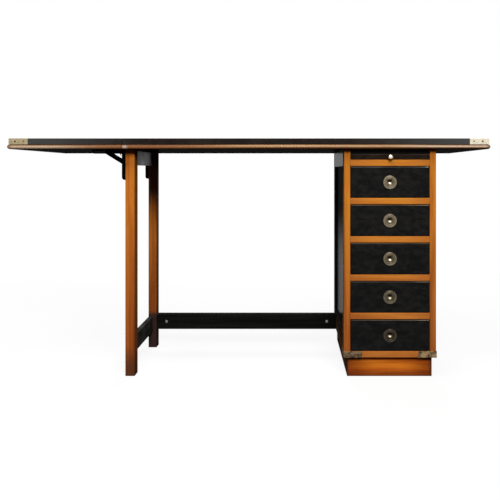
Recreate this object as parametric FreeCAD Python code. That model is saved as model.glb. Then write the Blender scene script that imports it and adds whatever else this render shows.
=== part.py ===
"""Campaign desk in black lacquer and honey-stained wood.

A drop-leaf top stands on a two-leg frame at the left and on a pedestal of drawers at the right. The leaf
folds down on two steel brackets, a writing slide runs above the drawers, and each drawer has a flush ring
pull. Millimetres, +Z up, front towards -Y, origin on the floor under the middle of the raised top.
"""
import FreeCAD
import Part

import math
import os

Vector = FreeCAD.Vector

# Overall size, over the nosing and with the leaf raised
TOP_LENGTH = 1522.0
TOP_DEPTH = 555.0
DESK_HEIGHT = 760.0

# Top and drop leaf: a black board over a honey nosing that frames a black lining
BOARD_THICKNESS = 19.0
NOSING_HEIGHT = 15.0
NOSING_PROUD = 3.5
NOSING_WIDTH = 42.0
LEAF_LENGTH = 359.0
SEAM_GAP = 1.5
BOARD_EASE = 1.0

# Inlaid brass corners of the top
CORNER_LENGTH = 60.0
CORNER_THICKNESS = 1.5
CORNER_LAND = 14.0
CORNER_HOLLOW = 27.0

# Leg frame
LEG_WIDTH = 30.0
LEG_DEPTH = 45.0
LEG_FROM_FRONT = 40.0
LEG_FROM_BACK = 105.0
LEG_FROM_SEAM = 2.5
APRON_HEIGHT = 50.0
FRAME_RAIL_THICKNESS = 15.0
FRAME_RAIL_SETBACK = 0.5
FRAME_TENON_THICKNESS = 7.0
FRAME_TENON_LENGTH = 7.0
STRETCHER_BOTTOM = 65.0
STRETCHER_HEIGHT = 58.0
STRETCHER_THICKNESS = 20.0
SIDE_STRETCHER_BOTTOM = 58.0
SIDE_STRETCHER_HEIGHT = 57.0
TENON_LENGTH = 12.0
TENON_THICKNESS = 10.0
TENON_SHOULDER = 5.0
LEG_EASE = 1.5

# Knock-down bolts and barrel nuts of the long stretcher
BOLT_RADIUS = 3.0
BOLT_HEAD_RADIUS = 6.0
BOLT_HEAD_HEIGHT = 4.0
COUNTERBORE_RADIUS = 7.0
COUNTERBORE_DEPTH = 6.0
BARREL_RADIUS = 5.0
BARREL_FROM_END = 35.0
BOLT_PAST_BARREL = 8.0

# Folding brackets of the leaf
STEEL_THICKNESS = 2.0
BRACKET_WIDTH = 15.0
BRACKET_CLEARANCE = 0.5
BRACKET_FLANGE = 18.0
BRACKET_CORNER = 9.0
UPRIGHT_LENGTH = 98.0
STRUT_DROP = 34.0
STRUT_REACH = 55.0
ARM_WALL = 2.0
ARM_PAST_SLOT = 3.0
STRUT_GAP = 0.4
ARM_GAP = 2.0
PIN_RADIUS = 3.0
PIN_HEAD_RADIUS = 4.5
PIN_HEAD_HEIGHT = 1.2
STUD_RADIUS = 2.5
STUD_HEIGHT = 1.4
SLOT_PLAY = 0.5

# Pedestal carcass
PEDESTAL_WIDTH = 293.0
PEDESTAL_FROM_FRONT = 25.0
PEDESTAL_FROM_BACK = 14.0
RIGHT_OVERHANG = 166.0
STILE_WIDTH = 20.0
STILE_DEPTH = 50.0
POST_DEPTH = 45.0
RAIL_HEIGHT = 20.0
RAIL_DEPTH = 30.0
SIDE_TOP_RAIL = 53.0
SIDE_RAIL_MARGIN = 2.0
PANEL_RECESS = 9.0
PANEL_THICKNESS = 8.0
GROOVE_DEPTH = 4.0
BACK_PANEL_INSET = 4.0
CARCASS_TOP_THICKNESS = 14.0
CARCASS_TOP_SETBACK = 3.0
CARCASS_BOTTOM_THICKNESS = 12.0
RUNNER_WIDTH = 25.0
WOOD_EASE = 0.8

# Plinth
PLINTH_HEIGHT = 63.0
PLINTH_THICKNESS = 18.0
PLINTH_SIDE_INSET = 11.0
PLINTH_END_INSET = 15.0

# Brass shoes on the pedestal's lower front corners
SHOE_LENGTH = 57.0
SHOE_THICKNESS = 2.0

# Writing slide and its knob
SLIDE_THICKNESS = 17.0
SLIDE_GAP = 1.0
SLIDE_SETBACK = 2.0
SLIDE_BACK_GAP = 62.0
SLIDE_EDGE_DEPTH = 30.0
KNOB_RADIUS = 8.5
KNOB_ROSE_RADIUS = 6.5
KNOB_ROSE_HEIGHT = 2.0
KNOB_NECK_RADIUS = 3.5
KNOB_NECK_LENGTH = 5.0
KNOB_STUD_RADIUS = 2.5
KNOB_STUD_LENGTH = 14.0

# Drawers
DRAWER_COUNT = 5
DRAWER_SIDE_GAP = 1.8
DRAWER_TOP_GAP = 2.5
DRAWER_BOTTOM_GAP = 0.8
DRAWER_SETBACK = 0.8
DRAWER_BACK_GAP = 20.0
DRAWER_FRONT_THICKNESS = 18.0
DRAWER_EASE = 2.0
DRAWER_WALL = 10.0
DRAWER_WALL_DROP = 14.0
DRAWER_WALL_INSET = 1.0
DRAWER_FLOOR_THICKNESS = 6.0
DRAWER_FLOOR_RAISE = 8.0
DRAWER_GROOVE = 5.0

# Flush ring pulls
PULL_RADIUS = 21.4
PULL_PROUD = 2.0
PULL_LET_IN = 6.5
PULL_EASE = 1.2
TRAY_RADIUS = 17.4
TRAY_DEPTH = 3.8
DIMPLE_RADIUS = 8.0
DIMPLE_DEPTH = 2.8
RING_OUTER = 16.6
RING_INNER = 11.6
RING_THICKNESS = 2.6
RING_SINK = 0.2
RING_EASE = 0.9
RING_SWING_ROOM = 0.55
TRUNNION_RADIUS = 0.9
TRUNNION_BITE = 2.2
TRUNNION_BACKSET = 0.1

# Screws
SCREW_HEAD_RADIUS = 3.3
SCREW_HEAD_HEIGHT = 1.9
SCREW_RADIUS = 1.4
SCREW_LENGTH = 12.0
SCREW_SLOT_WIDTH = 0.7
SCREW_SLOT_DEPTH = 0.6
SCREW_TURN = 37.0
PAN_HEAD_RADIUS = 4.0
PAN_HEAD_HEIGHT = 2.0
PAN_SCREW_RADIUS = 1.8
PAN_SCREW_LENGTH = 12.0
CORNER_SCREW_SHARES = (0.33, 0.78)
SHOE_SCREW_SHARES = (0.25, 0.75)
UPRIGHT_SCREW_SHARES = (0.17, 0.5, 0.83)
ARM_SCREW_SHARES = (0.25, 0.5, 0.75)

# Fits
FIXED_FIT = 0.02
RUNNING_FIT = 0.05
LET_IN_FIT = 0.1
SIDE_PLAY = 0.3

# Cosine of 45 degrees
diagonal = math.sqrt(0.5)

# Planes of the top
front = -TOP_DEPTH / 2
back = TOP_DEPTH / 2
left_tip = -TOP_LENGTH / 2
right_tip = TOP_LENGTH / 2
board_bottom = DESK_HEIGHT - BOARD_THICKNESS
underside = board_bottom - NOSING_HEIGHT
leaf_edge = left_tip + LEAF_LENGTH
main_edge = leaf_edge + SEAM_GAP

# Planes of the leg frame
leg_left = main_edge + LEG_FROM_SEAM
leg_right = leg_left + LEG_WIDTH
frame_rail_middle = leg_left + FRAME_RAIL_SETBACK + FRAME_RAIL_THICKNESS / 2
front_leg_y = front + LEG_FROM_FRONT
back_leg_y = back - LEG_FROM_BACK - LEG_DEPTH
stretcher_y = back_leg_y + LEG_DEPTH / 2
stretcher_top = STRETCHER_BOTTOM + STRETCHER_HEIGHT
bolt_z = STRETCHER_BOTTOM + STRETCHER_HEIGHT / 2

# Hinge pivot, strut and layers of the leaf brackets
bracket_half = BRACKET_WIDTH / 2
pivot_offset = bracket_half + BRACKET_CLEARANCE
pivot_x = leg_left - pivot_offset
pivot_z = underside - pivot_offset
strut_pivot_z = pivot_z - STRUT_DROP
strut_length = math.hypot(STRUT_DROP, STRUT_REACH)
folded_reach = STRUT_DROP + strut_length
slot_half = STUD_RADIUS + SLOT_PLAY
arm_half = slot_half + ARM_WALL
arm_length = folded_reach + slot_half + ARM_PAST_SLOT
strut_layer = STEEL_THICKNESS + STRUT_GAP
arm_layer = strut_layer + STEEL_THICKNESS + ARM_GAP
bracket_layers = arm_layer + STEEL_THICKNESS
bracket_from_leg = (LEG_DEPTH - bracket_layers) / 2
bracket_ys = {"front": front_leg_y + bracket_from_leg, "rear": back_leg_y + bracket_from_leg}

# Planes of the pedestal
ped_right = right_tip - RIGHT_OVERHANG
ped_left = ped_right - PEDESTAL_WIDTH
ped_middle = (ped_left + ped_right) / 2
ped_front = front + PEDESTAL_FROM_FRONT
ped_back = back - PEDESTAL_FROM_BACK
bay_left = ped_left + STILE_WIDTH
bay_right = ped_right - STILE_WIDTH
bay_front = ped_front + RAIL_DEPTH
back_panel_front = ped_back - BACK_PANEL_INSET - PANEL_THICKNESS
slide_bay = SLIDE_THICKNESS + 2 * SLIDE_GAP
carcass_top_bottom = underside - CARCASS_TOP_THICKNESS
drawers_top = carcass_top_bottom - slide_bay
drawer_pitch = (drawers_top - PLINTH_HEIGHT - RAIL_HEIGHT) / DRAWER_COUNT
rail_bottoms = [PLINTH_HEIGHT + drawer_pitch * i for i in range(DRAWER_COUNT + 1)]
side_bottom_rail_top = stretcher_top + SIDE_RAIL_MARGIN
side_top_rail_bottom = underside - SIDE_TOP_RAIL
slide_front_y = ped_front + SLIDE_SETBACK
slide_bottom = drawers_top + SLIDE_GAP

# Places of the drawers and their ring pulls, the pull's depths measured outwards from the drawer's face
drawer_left = bay_left + DRAWER_SIDE_GAP
drawer_right = bay_right - DRAWER_SIDE_GAP
drawer_face_y = ped_front + DRAWER_SETBACK
drawer_wall_y = drawer_face_y + DRAWER_FRONT_THICKNESS
drawer_back_y = back_panel_front - DRAWER_BACK_GAP
drawer_height = drawer_pitch - RAIL_HEIGHT - DRAWER_TOP_GAP - DRAWER_BOTTOM_GAP
tray_floor = PULL_PROUD - TRAY_DEPTH
ring_front = PULL_PROUD - RING_SINK
ring_back = ring_front - RING_THICKNESS
ring_pivot_out = (ring_front + ring_back) / 2 - TRUNNION_BACKSET
ring_pivot_up = (RING_OUTER + RING_INNER) / 2
ring_pivot_sink = PULL_PROUD - ring_pivot_out
ring_half_thick = ring_front - ring_pivot_out
ring_swing = math.hypot(RING_OUTER - ring_pivot_up, ring_half_thick) + RING_SWING_ROOM
notch_half = math.sqrt(RING_OUTER ** 2 - (ring_pivot_up - ring_pivot_sink) ** 2) + 2 * RING_SWING_ROOM
notch_top = ring_pivot_up + ring_half_thick + 2 * RING_SWING_ROOM
notch_floor = ring_pivot_out - ring_swing
trunnion_reach = notch_half + TRUNNION_BITE


def box(x0, x1, y0, y1, z0, z1):
    """Block between two corners."""
    return Part.makeBox(x1 - x0, y1 - y0, z1 - z0, Vector(x0, y0, z0))


def rod(start, direction, radius, length):
    """Round bar from a point along a direction."""
    return Part.makeCylinder(radius, length, start, direction)


def line(a, b):
    """Straight edge."""
    return Part.LineSegment(a, b).toShape()


def arc(a, through, b):
    """Round edge through three points."""
    return Part.Arc(a, through, b).toShape()


def chain(points):
    """Straight edges that join points into a closed outline."""
    return [line(a, b) for a, b in zip(points, points[1:] + points[:1])]


def outline_face(edges):
    """Flat face inside edges given in order."""
    return Part.Face(Part.Wire(edges))


def plate(edges, thickness):
    """Flat outline thickened by a vector."""
    return outline_face(edges).extrude(thickness)


def revolved(edges):
    """Outline in the XZ plane turned about Z."""
    return outline_face(edges).revolve(Vector(0, 0, 0), Vector(0, 0, 1), 360)


def eased_along(solid, radius, direction):
    """Block with the edges that run along a direction rounded."""
    edges = [e for e in solid.Edges if abs(e.tangentAt(e.FirstParameter).dot(direction)) > diagonal]
    return solid.makeFillet(radius, edges)


def eased_front(solid, radius):
    """Block with the edges of its front face rounded."""
    face_y = solid.BoundBox.YMin
    return solid.makeFillet(radius, [e for e in solid.Edges if e.BoundBox.YMax - face_y < radius])


def mirrored_x(shape):
    """Copy of a shape on the other side of the pedestal's middle plane."""
    return shape.mirror(Vector(ped_middle, 0, 0), Vector(1, 0, 0))


def mirrored_y(shape):
    """Copy of a shape on the other side of the top's middle plane."""
    return shape.mirror(Vector(0, 0, 0), Vector(0, 1, 0))


def facing(shape, point, direction):
    """Shape made along +Z, turned to face a direction and set at a point."""
    turned = shape.copy()
    turned.Placement = FreeCAD.Placement(point, FreeCAD.Rotation(Vector(0, 0, 1), direction))
    return turned


# Screws


def countersunk_body(fit):
    """Countersunk screw without its slot, head flush with Z = 0, grown by a fit."""
    head = SCREW_HEAD_RADIUS + fit
    shank = SCREW_RADIUS + fit
    depth = SCREW_LENGTH + fit
    return revolved(chain([Vector(0, 0, 0), Vector(head, 0, 0), Vector(shank, 0, -SCREW_HEAD_HEIGHT - fit),
                           Vector(shank, 0, -depth), Vector(0, 0, -depth)]))


def countersunk_screw(turn):
    """Slotted countersunk screw with its slot turned by some degrees."""
    slot = box(-SCREW_HEAD_RADIUS, SCREW_HEAD_RADIUS, -SCREW_SLOT_WIDTH / 2, SCREW_SLOT_WIDTH / 2,
               -SCREW_SLOT_DEPTH, SCREW_SLOT_DEPTH)
    slot.rotate(Vector(0, 0, 0), Vector(0, 0, 1), turn)
    return countersunk_body(0).cut(slot)


def countersunk_set(places):
    """Screws and the holes that take them, for a list of (point, outward direction)."""
    screws = [facing(countersunk_screw(SCREW_TURN * i), p, d) for i, (p, d) in enumerate(places)]
    holes = [facing(countersunk_body(FIXED_FIT), p, d) for p, d in places]
    return screws, holes


def pan_screw():
    """Round-headed screw, head standing on Z = 0."""
    dome = (PAN_HEAD_RADIUS ** 2 + PAN_HEAD_HEIGHT ** 2) / (2 * PAN_HEAD_HEIGHT)
    half_turn = math.atan2(PAN_HEAD_HEIGHT, PAN_HEAD_RADIUS)
    crown = Vector(0, 0, PAN_HEAD_HEIGHT)
    rim = Vector(PAN_HEAD_RADIUS, 0, 0)
    shoulder = Vector(dome * math.sin(half_turn), 0, PAN_HEAD_HEIGHT - dome * (1 - math.cos(half_turn)))
    tip = Vector(0, 0, -PAN_SCREW_LENGTH)
    tip_rim = Vector(PAN_SCREW_RADIUS, 0, -PAN_SCREW_LENGTH)
    neck = Vector(PAN_SCREW_RADIUS, 0, 0)
    return revolved([arc(rim, shoulder, crown), line(crown, tip), line(tip, tip_rim), line(tip_rim, neck),
                     line(neck, rim)])


def pan_set(places):
    """Round-headed screws and the holes that take them, for a list of (point, outward direction)."""
    depth = PAN_SCREW_LENGTH + FIXED_FIT
    screws = [facing(pan_screw(), p, d) for p, d in places]
    holes = [rod(p, d * -1, PAN_SCREW_RADIUS + FIXED_FIT, depth) for p, d in places]
    return screws, holes


# Top and leaf


def board_blank(x0, x1):
    """Black board before its corners are let in, with its upper edges eased."""
    blank = box(x0, x1, front + NOSING_PROUD, back - NOSING_PROUD, board_bottom, DESK_HEIGHT)
    upper_edges = [e for e in blank.Edges if e.BoundBox.ZMin > board_bottom + BOARD_EASE]
    return blank.makeFillet(BOARD_EASE, upper_edges)


def corner_block(corner, side):
    """Upright block under one brass corner's outline: side is the way along X into the board."""
    def at(u, v):
        return Vector(corner.x + side * u, corner.y + v, board_bottom)

    return plate([line(at(0, 0), at(CORNER_LENGTH, 0)),
                  line(at(CORNER_LENGTH, 0), at(CORNER_LENGTH, CORNER_LAND)),
                  arc(at(CORNER_LENGTH, CORNER_LAND), at(CORNER_HOLLOW, CORNER_HOLLOW),
                      at(CORNER_LAND, CORNER_LENGTH)),
                  line(at(CORNER_LAND, CORNER_LENGTH), at(0, CORNER_LENGTH)),
                  line(at(0, CORNER_LENGTH), at(0, 0))], Vector(0, 0, BOARD_THICKNESS))


def brass_corner(blank, corner, side):
    """Brass corner that follows the board's eased edges: a top plate and two edge flanges."""
    near_x = corner.x + side * CORNER_THICKNESS
    far_x = corner.x + side * 2 * CORNER_LENGTH
    near_y = corner.y + CORNER_THICKNESS
    hollow = box(min(near_x, far_x), max(near_x, far_x), near_y, near_y + CORNER_LENGTH,
                 board_bottom, DESK_HEIGHT - CORNER_THICKNESS)
    return blank.common(corner_block(corner, side)).cut(hollow)


def corner_screw_places(corner, side):
    """Two screws in each edge flange of a front corner and three in its top plate."""
    near, far = [CORNER_LENGTH * share for share in CORNER_SCREW_SHARES]
    between = (near + far) / 2
    inset = CORNER_LAND / 2
    middle_z = board_bottom + BOARD_THICKNESS / 2
    places = []
    for reach in (near, far):
        places.append((Vector(corner.x + side * reach, corner.y, middle_z), Vector(0, -1, 0)))
        places.append((Vector(corner.x, corner.y + reach, middle_z), Vector(-side, 0, 0)))
    for u, v in ((near / 2, near / 2), (between, inset), (inset, between)):
        places.append((Vector(corner.x + side * u, corner.y + v, DESK_HEIGHT), Vector(0, 0, 1)))
    return places


def cornered_board(x0, x1, corner_x, side):
    """Board with two brass corners let in flush, the corners, and their screws."""
    blank = board_blank(x0, x1)
    corner = Vector(corner_x, front + NOSING_PROUD, 0)
    front_corner = brass_corner(blank, corner, side)
    screws, holes = countersunk_set(corner_screw_places(corner, side))
    board = blank.cut([front_corner, mirrored_y(front_corner)] + holes + [mirrored_y(h) for h in holes])
    front_corner = front_corner.cut(holes)
    return board, [front_corner, mirrored_y(front_corner)], screws + [mirrored_y(s) for s in screws]


def nosing_run(start, end, inward, mitre_start, mitre_end):
    """Half-round strip from start to end along the top's outer line, mitred where the mitre is 1."""
    half = NOSING_HEIGHT / 2
    up = Vector(0, 0, 1)

    def at(reach, height):
        return start + inward * reach + up * height

    section = [arc(at(half, 0), at(0, half), at(half, NOSING_HEIGHT)),
               line(at(half, NOSING_HEIGHT), at(NOSING_WIDTH, NOSING_HEIGHT)),
               line(at(NOSING_WIDTH, NOSING_HEIGHT), at(NOSING_WIDTH, 0)),
               line(at(NOSING_WIDTH, 0), at(half, 0))]
    along = (end - start).normalize()
    inner_start = start + (inward + along * mitre_start) * NOSING_WIDTH
    inner_end = end + (inward - along * mitre_end) * NOSING_WIDTH
    plan = plate(chain([start, end, inner_end, inner_start]), up * NOSING_HEIGHT)
    return plate(section, end - start).common(plan)


def nosing(inner_x, outer_x):
    """Three mitred strips round one part of the top: along the front, across the end, along the back."""
    inward = Vector(math.copysign(1, inner_x - outer_x), 0, 0)
    front_in = Vector(inner_x, front, underside)
    front_out = Vector(outer_x, front, underside)
    back_out = Vector(outer_x, back, underside)
    front_run = nosing_run(front_in, front_out, Vector(0, 1, 0), 0, 1)
    return [front_run, nosing_run(front_out, back_out, inward, 1, 1), mirrored_y(front_run)]


def lining(x0, x1):
    """Black lining board inside the nosing."""
    return box(x0, x1, front + NOSING_WIDTH, back - NOSING_WIDTH, underside, board_bottom)


# Leg frame


def leg(y0):
    """Square leg with its upright edges eased."""
    return eased_along(box(leg_left, leg_right, y0, y0 + LEG_DEPTH, 0, underside), LEG_EASE, Vector(0, 0, 1))


def frame_rail(z0, z1):
    """Rail between the two legs, with a tenon at each end."""
    y0 = front_leg_y + LEG_DEPTH
    half = FRAME_RAIL_THICKNESS / 2
    rail = box(frame_rail_middle - half, frame_rail_middle + half, y0, back_leg_y, z0, z1)
    tenon = FRAME_TENON_THICKNESS / 2
    tongue = box(frame_rail_middle - tenon, frame_rail_middle + tenon, y0 - FRAME_TENON_LENGTH,
                 back_leg_y + FRAME_TENON_LENGTH, z0 + TENON_SHOULDER, z1 - TENON_SHOULDER)
    return eased_along(rail, LEG_EASE, Vector(0, 1, 0)).fuse(tongue).removeSplitter()


def barrel(x, fit):
    """Barrel nut across the stretcher, not yet drilled, grown by a fit."""
    start = Vector(x, stretcher_y - STRETCHER_THICKNESS / 2, bolt_z)
    return rod(start, Vector(0, 1, 0), BARREL_RADIUS + fit, STRETCHER_THICKNESS)


def bolt(face_x, way, thickness, fit):
    """Bolt that enters a member's counterbored face along X and ends past its barrel nut, grown by a fit."""
    along = Vector(way, 0, 0)
    seat = Vector(face_x + way * COUNTERBORE_DEPTH, stretcher_y, bolt_z)
    length = thickness - COUNTERBORE_DEPTH + BARREL_FROM_END + BOLT_PAST_BARREL
    shank = rod(seat, along, BOLT_RADIUS + fit, length + fit)
    return shank.fuse(rod(seat, along * -1, BOLT_HEAD_RADIUS, BOLT_HEAD_HEIGHT)).removeSplitter()


def bolt_bore(face_x, way, thickness):
    """Drilling that takes a bolt, with its counterbore."""
    mouth = Vector(face_x, stretcher_y, bolt_z)
    counterbore = rod(mouth, Vector(way, 0, 0), COUNTERBORE_RADIUS, COUNTERBORE_DEPTH)
    return bolt(face_x, way, thickness, LET_IN_FIT).fuse(counterbore)


def stretcher_fasteners():
    """Bolts, their drillings and the places of the barrel nuts: at the back leg and at the pedestal."""
    seats = [(leg_left, 1, LEG_WIDTH), (bay_left, -1, STILE_WIDTH)]
    bolts = [bolt(*seat, 0) for seat in seats]
    bores = [bolt_bore(*seat) for seat in seats]
    return bolts, bores, [leg_right + BARREL_FROM_END, ped_left - BARREL_FROM_END]


def stretcher(bores, barrel_xs):
    """Long rail from the back leg to the pedestal, drilled for its bolts and barrel nuts."""
    half = STRETCHER_THICKNESS / 2
    rail = box(leg_right, ped_left, stretcher_y - half, stretcher_y + half, STRETCHER_BOTTOM, stretcher_top)
    rail = eased_along(rail, LEG_EASE, Vector(1, 0, 0))
    return rail.cut(bores + [barrel(x, FIXED_FIT) for x in barrel_xs])


def barrel_nut(x, bores):
    """Barrel nut with its cross hole."""
    return barrel(x, 0).cut(bores)


# Folding brackets


def upright(y0):
    """Steel angle on a leg's left face: a web that carries both pivots and a flange for its screws."""
    low = underside - UPRIGHT_LENGTH
    high = pivot_z + bracket_half
    left = pivot_x - bracket_half

    def at(x, z):
        return Vector(x, y0, z)

    corner_mid = at(left + BRACKET_CORNER * (1 - diagonal), low + BRACKET_CORNER * (1 - diagonal))
    head_mid = at(pivot_x - bracket_half * diagonal, pivot_z + bracket_half * diagonal)
    web = plate([line(at(leg_left, low), at(left + BRACKET_CORNER, low)),
                 arc(at(left + BRACKET_CORNER, low), corner_mid, at(left, low + BRACKET_CORNER)),
                 line(at(left, low + BRACKET_CORNER), at(left, pivot_z)),
                 arc(at(left, pivot_z), head_mid, at(pivot_x, high)),
                 line(at(pivot_x, high), at(leg_left, high)),
                 line(at(leg_left, high), at(leg_left, low))], Vector(0, STEEL_THICKNESS, 0))
    flange = box(leg_left - STEEL_THICKNESS, leg_left, y0 + STEEL_THICKNESS - BRACKET_FLANGE,
                 y0 + STEEL_THICKNESS, low, high)
    pins = [rod(Vector(pivot_x, y0, z), Vector(0, 1, 0), PIN_RADIUS + FIXED_FIT, STEEL_THICKNESS)
            for z in (pivot_z, strut_pivot_z)]
    return web.fuse(flange).removeSplitter().cut(pins)


def upright_screw_places(y0):
    """Three screws down the upright's flange, into the leg."""
    y = y0 - (BRACKET_FLANGE - STEEL_THICKNESS) / 2
    reach = UPRIGHT_LENGTH - BRACKET_WIDTH
    return [(Vector(leg_left - STEEL_THICKNESS, y, pivot_z - reach * share), Vector(-1, 0, 0))
            for share in UPRIGHT_SCREW_SHARES]


def hinge_pin(y0):
    """Shouldered pin of the leaf hinge: riveted in the upright, running in the arm."""
    across = Vector(0, 1, 0)
    length = bracket_layers + SIDE_PLAY
    shoulder = arm_layer - STEEL_THICKNESS - SIDE_PLAY
    pin = rod(Vector(pivot_x, y0, pivot_z), across, PIN_RADIUS, length)
    spacer = rod(Vector(pivot_x, y0 + STEEL_THICKNESS, pivot_z), across, PIN_HEAD_RADIUS, shoulder)
    near_head = rod(Vector(pivot_x, y0, pivot_z), across * -1, PIN_HEAD_RADIUS, PIN_HEAD_HEIGHT)
    far_head = rod(Vector(pivot_x, y0 + length, pivot_z), across, PIN_HEAD_RADIUS, PIN_HEAD_HEIGHT)
    return pin.fuse([spacer, near_head, far_head]).removeSplitter()


def strut_rivet(y0):
    """Rivet of the strut's lower pivot: fixed in the upright, with its far head past the strut."""
    across = Vector(0, 1, 0)
    length = strut_layer + STEEL_THICKNESS + SIDE_PLAY
    pin = rod(Vector(pivot_x, y0, strut_pivot_z), across, PIN_RADIUS, length)
    near_head = rod(Vector(pivot_x, y0, strut_pivot_z), across * -1, PIN_HEAD_RADIUS, PIN_HEAD_HEIGHT)
    far_head = rod(Vector(pivot_x, y0 + length, strut_pivot_z), across, PIN_HEAD_RADIUS, PIN_HEAD_HEIGHT)
    return pin.fuse([near_head, far_head]).removeSplitter()


def strut(y0):
    """Flat steel strut from its rivet up to the arm, with a stud that faces the arm's slot."""
    y = y0 + strut_layer
    low = Vector(pivot_x, y, strut_pivot_z)
    high = Vector(pivot_x - STRUT_REACH, y, pivot_z)
    along = (high - low).normalize()
    across = Vector(-along.z, 0, along.x) * bracket_half
    cap = along * bracket_half
    bar = plate([line(low + across, high + across), arc(high + across, high + cap, high - across),
                 line(high - across, low - across), arc(low - across, low - cap, low + across)],
                Vector(0, STEEL_THICKNESS, 0))
    stud = rod(Vector(high.x, y + STEEL_THICKNESS, high.z), Vector(0, 1, 0), STUD_RADIUS, STUD_HEIGHT)
    hole = rod(low, Vector(0, 1, 0), PIN_RADIUS + RUNNING_FIT, STEEL_THICKNESS)
    return bar.fuse(stud).removeSplitter().cut(hole)


def arm(y0):
    """Steel angle under the leaf: a slotted web that turns on the hinge pin and a flange for its screws."""
    y = y0 + arm_layer
    left = pivot_x - arm_length
    low = pivot_z - arm_half

    def at(x, z):
        return Vector(x, y, z)

    heel = at(pivot_x + arm_half, pivot_z)
    tip_mid = at(left + BRACKET_CORNER * (1 - diagonal), low + BRACKET_CORNER * (1 - diagonal))
    web = plate([line(at(pivot_x, low), at(left + BRACKET_CORNER, low)),
                 arc(at(left + BRACKET_CORNER, low), tip_mid, at(left, low + BRACKET_CORNER)),
                 line(at(left, low + BRACKET_CORNER), at(left, underside)),
                 line(at(left, underside), at(pivot_x, underside)),
                 line(at(pivot_x, underside), at(pivot_x, pivot_z + arm_half)),
                 arc(at(pivot_x, pivot_z + arm_half), heel, at(pivot_x, low))],
                Vector(0, STEEL_THICKNESS, 0))
    flange = box(left, pivot_x - pivot_offset, y, y + BRACKET_FLANGE, underside - STEEL_THICKNESS, underside)
    near = Vector(pivot_x - STRUT_REACH, y, pivot_z)
    far = Vector(pivot_x - folded_reach, y, pivot_z)
    rise = Vector(0, 0, slot_half)
    end = Vector(slot_half, 0, 0)
    slot = plate([line(far + rise, near + rise), arc(near + rise, near + end, near - rise),
                  line(near - rise, far - rise), arc(far - rise, far - end, far + rise)],
                 Vector(0, STEEL_THICKNESS, 0))
    hole = rod(Vector(pivot_x, y, pivot_z), Vector(0, 1, 0), PIN_RADIUS + RUNNING_FIT, STEEL_THICKNESS)
    return web.fuse(flange).removeSplitter().cut([slot, hole])


def arm_screw_places(y0):
    """Three screws along the arm's flange, up into the leaf's lining."""
    y = y0 + arm_layer + (BRACKET_FLANGE + STEEL_THICKNESS) / 2
    return [(Vector(pivot_x - arm_length * share, y, underside - STEEL_THICKNESS), Vector(0, 0, -1))
            for share in ARM_SCREW_SHARES]


# Pedestal carcass


def side_rail_tenons(z0, z1):
    """Tongue of a left side rail, as long as both its tenons."""
    middle = ped_left + STILE_WIDTH / 2
    half = TENON_THICKNESS / 2
    return box(middle - half, middle + half, ped_front + STILE_DEPTH - TENON_LENGTH,
               ped_back - POST_DEPTH + TENON_LENGTH, z0 + TENON_SHOULDER, z1 - TENON_SHOULDER)


def front_rail(z0):
    """Rail between the front stiles, with a tenon at each end."""
    rail = box(bay_left, bay_right, ped_front, bay_front, z0, z0 + RAIL_HEIGHT)
    middle = ped_front + RAIL_DEPTH / 2
    half = TENON_THICKNESS / 2
    tongue = box(bay_left - TENON_LENGTH, bay_right + TENON_LENGTH, middle - half, middle + half,
                 z0 + TENON_SHOULDER, z0 + RAIL_HEIGHT - TENON_SHOULDER)
    return eased_along(rail, WOOD_EASE, Vector(1, 0, 0)).fuse(tongue).removeSplitter()


def left_panel():
    """Thin panel of the left side, let into grooves all round."""
    x0 = ped_left + PANEL_RECESS
    return box(x0, x0 + PANEL_THICKNESS, ped_front + STILE_DEPTH - GROOVE_DEPTH,
               ped_back - POST_DEPTH + GROOVE_DEPTH, side_bottom_rail_top - GROOVE_DEPTH,
               side_top_rail_bottom + GROOVE_DEPTH)


def back_panel():
    """Thin panel across the back, let into the back posts."""
    return box(bay_left - GROOVE_DEPTH, bay_right + GROOVE_DEPTH, back_panel_front,
               back_panel_front + PANEL_THICKNESS, PLINTH_HEIGHT, underside)


def left_side(cuts):
    """Front stile, back post and the two rails of the left side, mortised, grooved and drilled."""
    y0 = ped_front + STILE_DEPTH
    y1 = ped_back - POST_DEPTH
    panel = left_panel()
    spans = [(PLINTH_HEIGHT, side_bottom_rail_top), (side_top_rail_bottom, underside)]
    tongues = [side_rail_tenons(*span) for span in spans]
    stile = box(ped_left, bay_left, ped_front, y0, PLINTH_HEIGHT, underside)
    stile = eased_along(stile, WOOD_EASE, Vector(0, 0, 1)).cut([panel] + tongues + cuts)
    post = box(ped_left, bay_left, y1, ped_back, PLINTH_HEIGHT, underside)
    post = eased_along(post, WOOD_EASE, Vector(0, 0, 1)).cut([panel, back_panel()] + tongues)
    rails = []
    for span, tongue in zip(spans, tongues):
        rail = eased_along(box(ped_left, bay_left, y0, y1, *span), WOOD_EASE, Vector(0, 1, 0))
        rails.append(rail.fuse(tongue).removeSplitter().cut([panel] + cuts))
    return stile, post, rails


def carcass_boards():
    """Top board over the writing slide and bottom board behind the lowest rail."""
    top = box(bay_left, bay_right, ped_front + CARCASS_TOP_SETBACK, back_panel_front,
              carcass_top_bottom, underside)
    bottom = box(bay_left, bay_right, bay_front, back_panel_front, PLINTH_HEIGHT,
                 PLINTH_HEIGHT + CARCASS_BOTTOM_THICKNESS)
    return top, bottom


def runners():
    """Pairs of strips behind the front rails that the drawers and the slide run on."""
    lows = [PLINTH_HEIGHT + CARCASS_BOTTOM_THICKNESS] + rail_bottoms[1:]
    left = [box(bay_left, bay_left + RUNNER_WIDTH, bay_front, back_panel_front, low, rail + RAIL_HEIGHT)
            for low, rail in zip(lows, rail_bottoms)]
    return left + [mirrored_x(r) for r in left]


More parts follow.
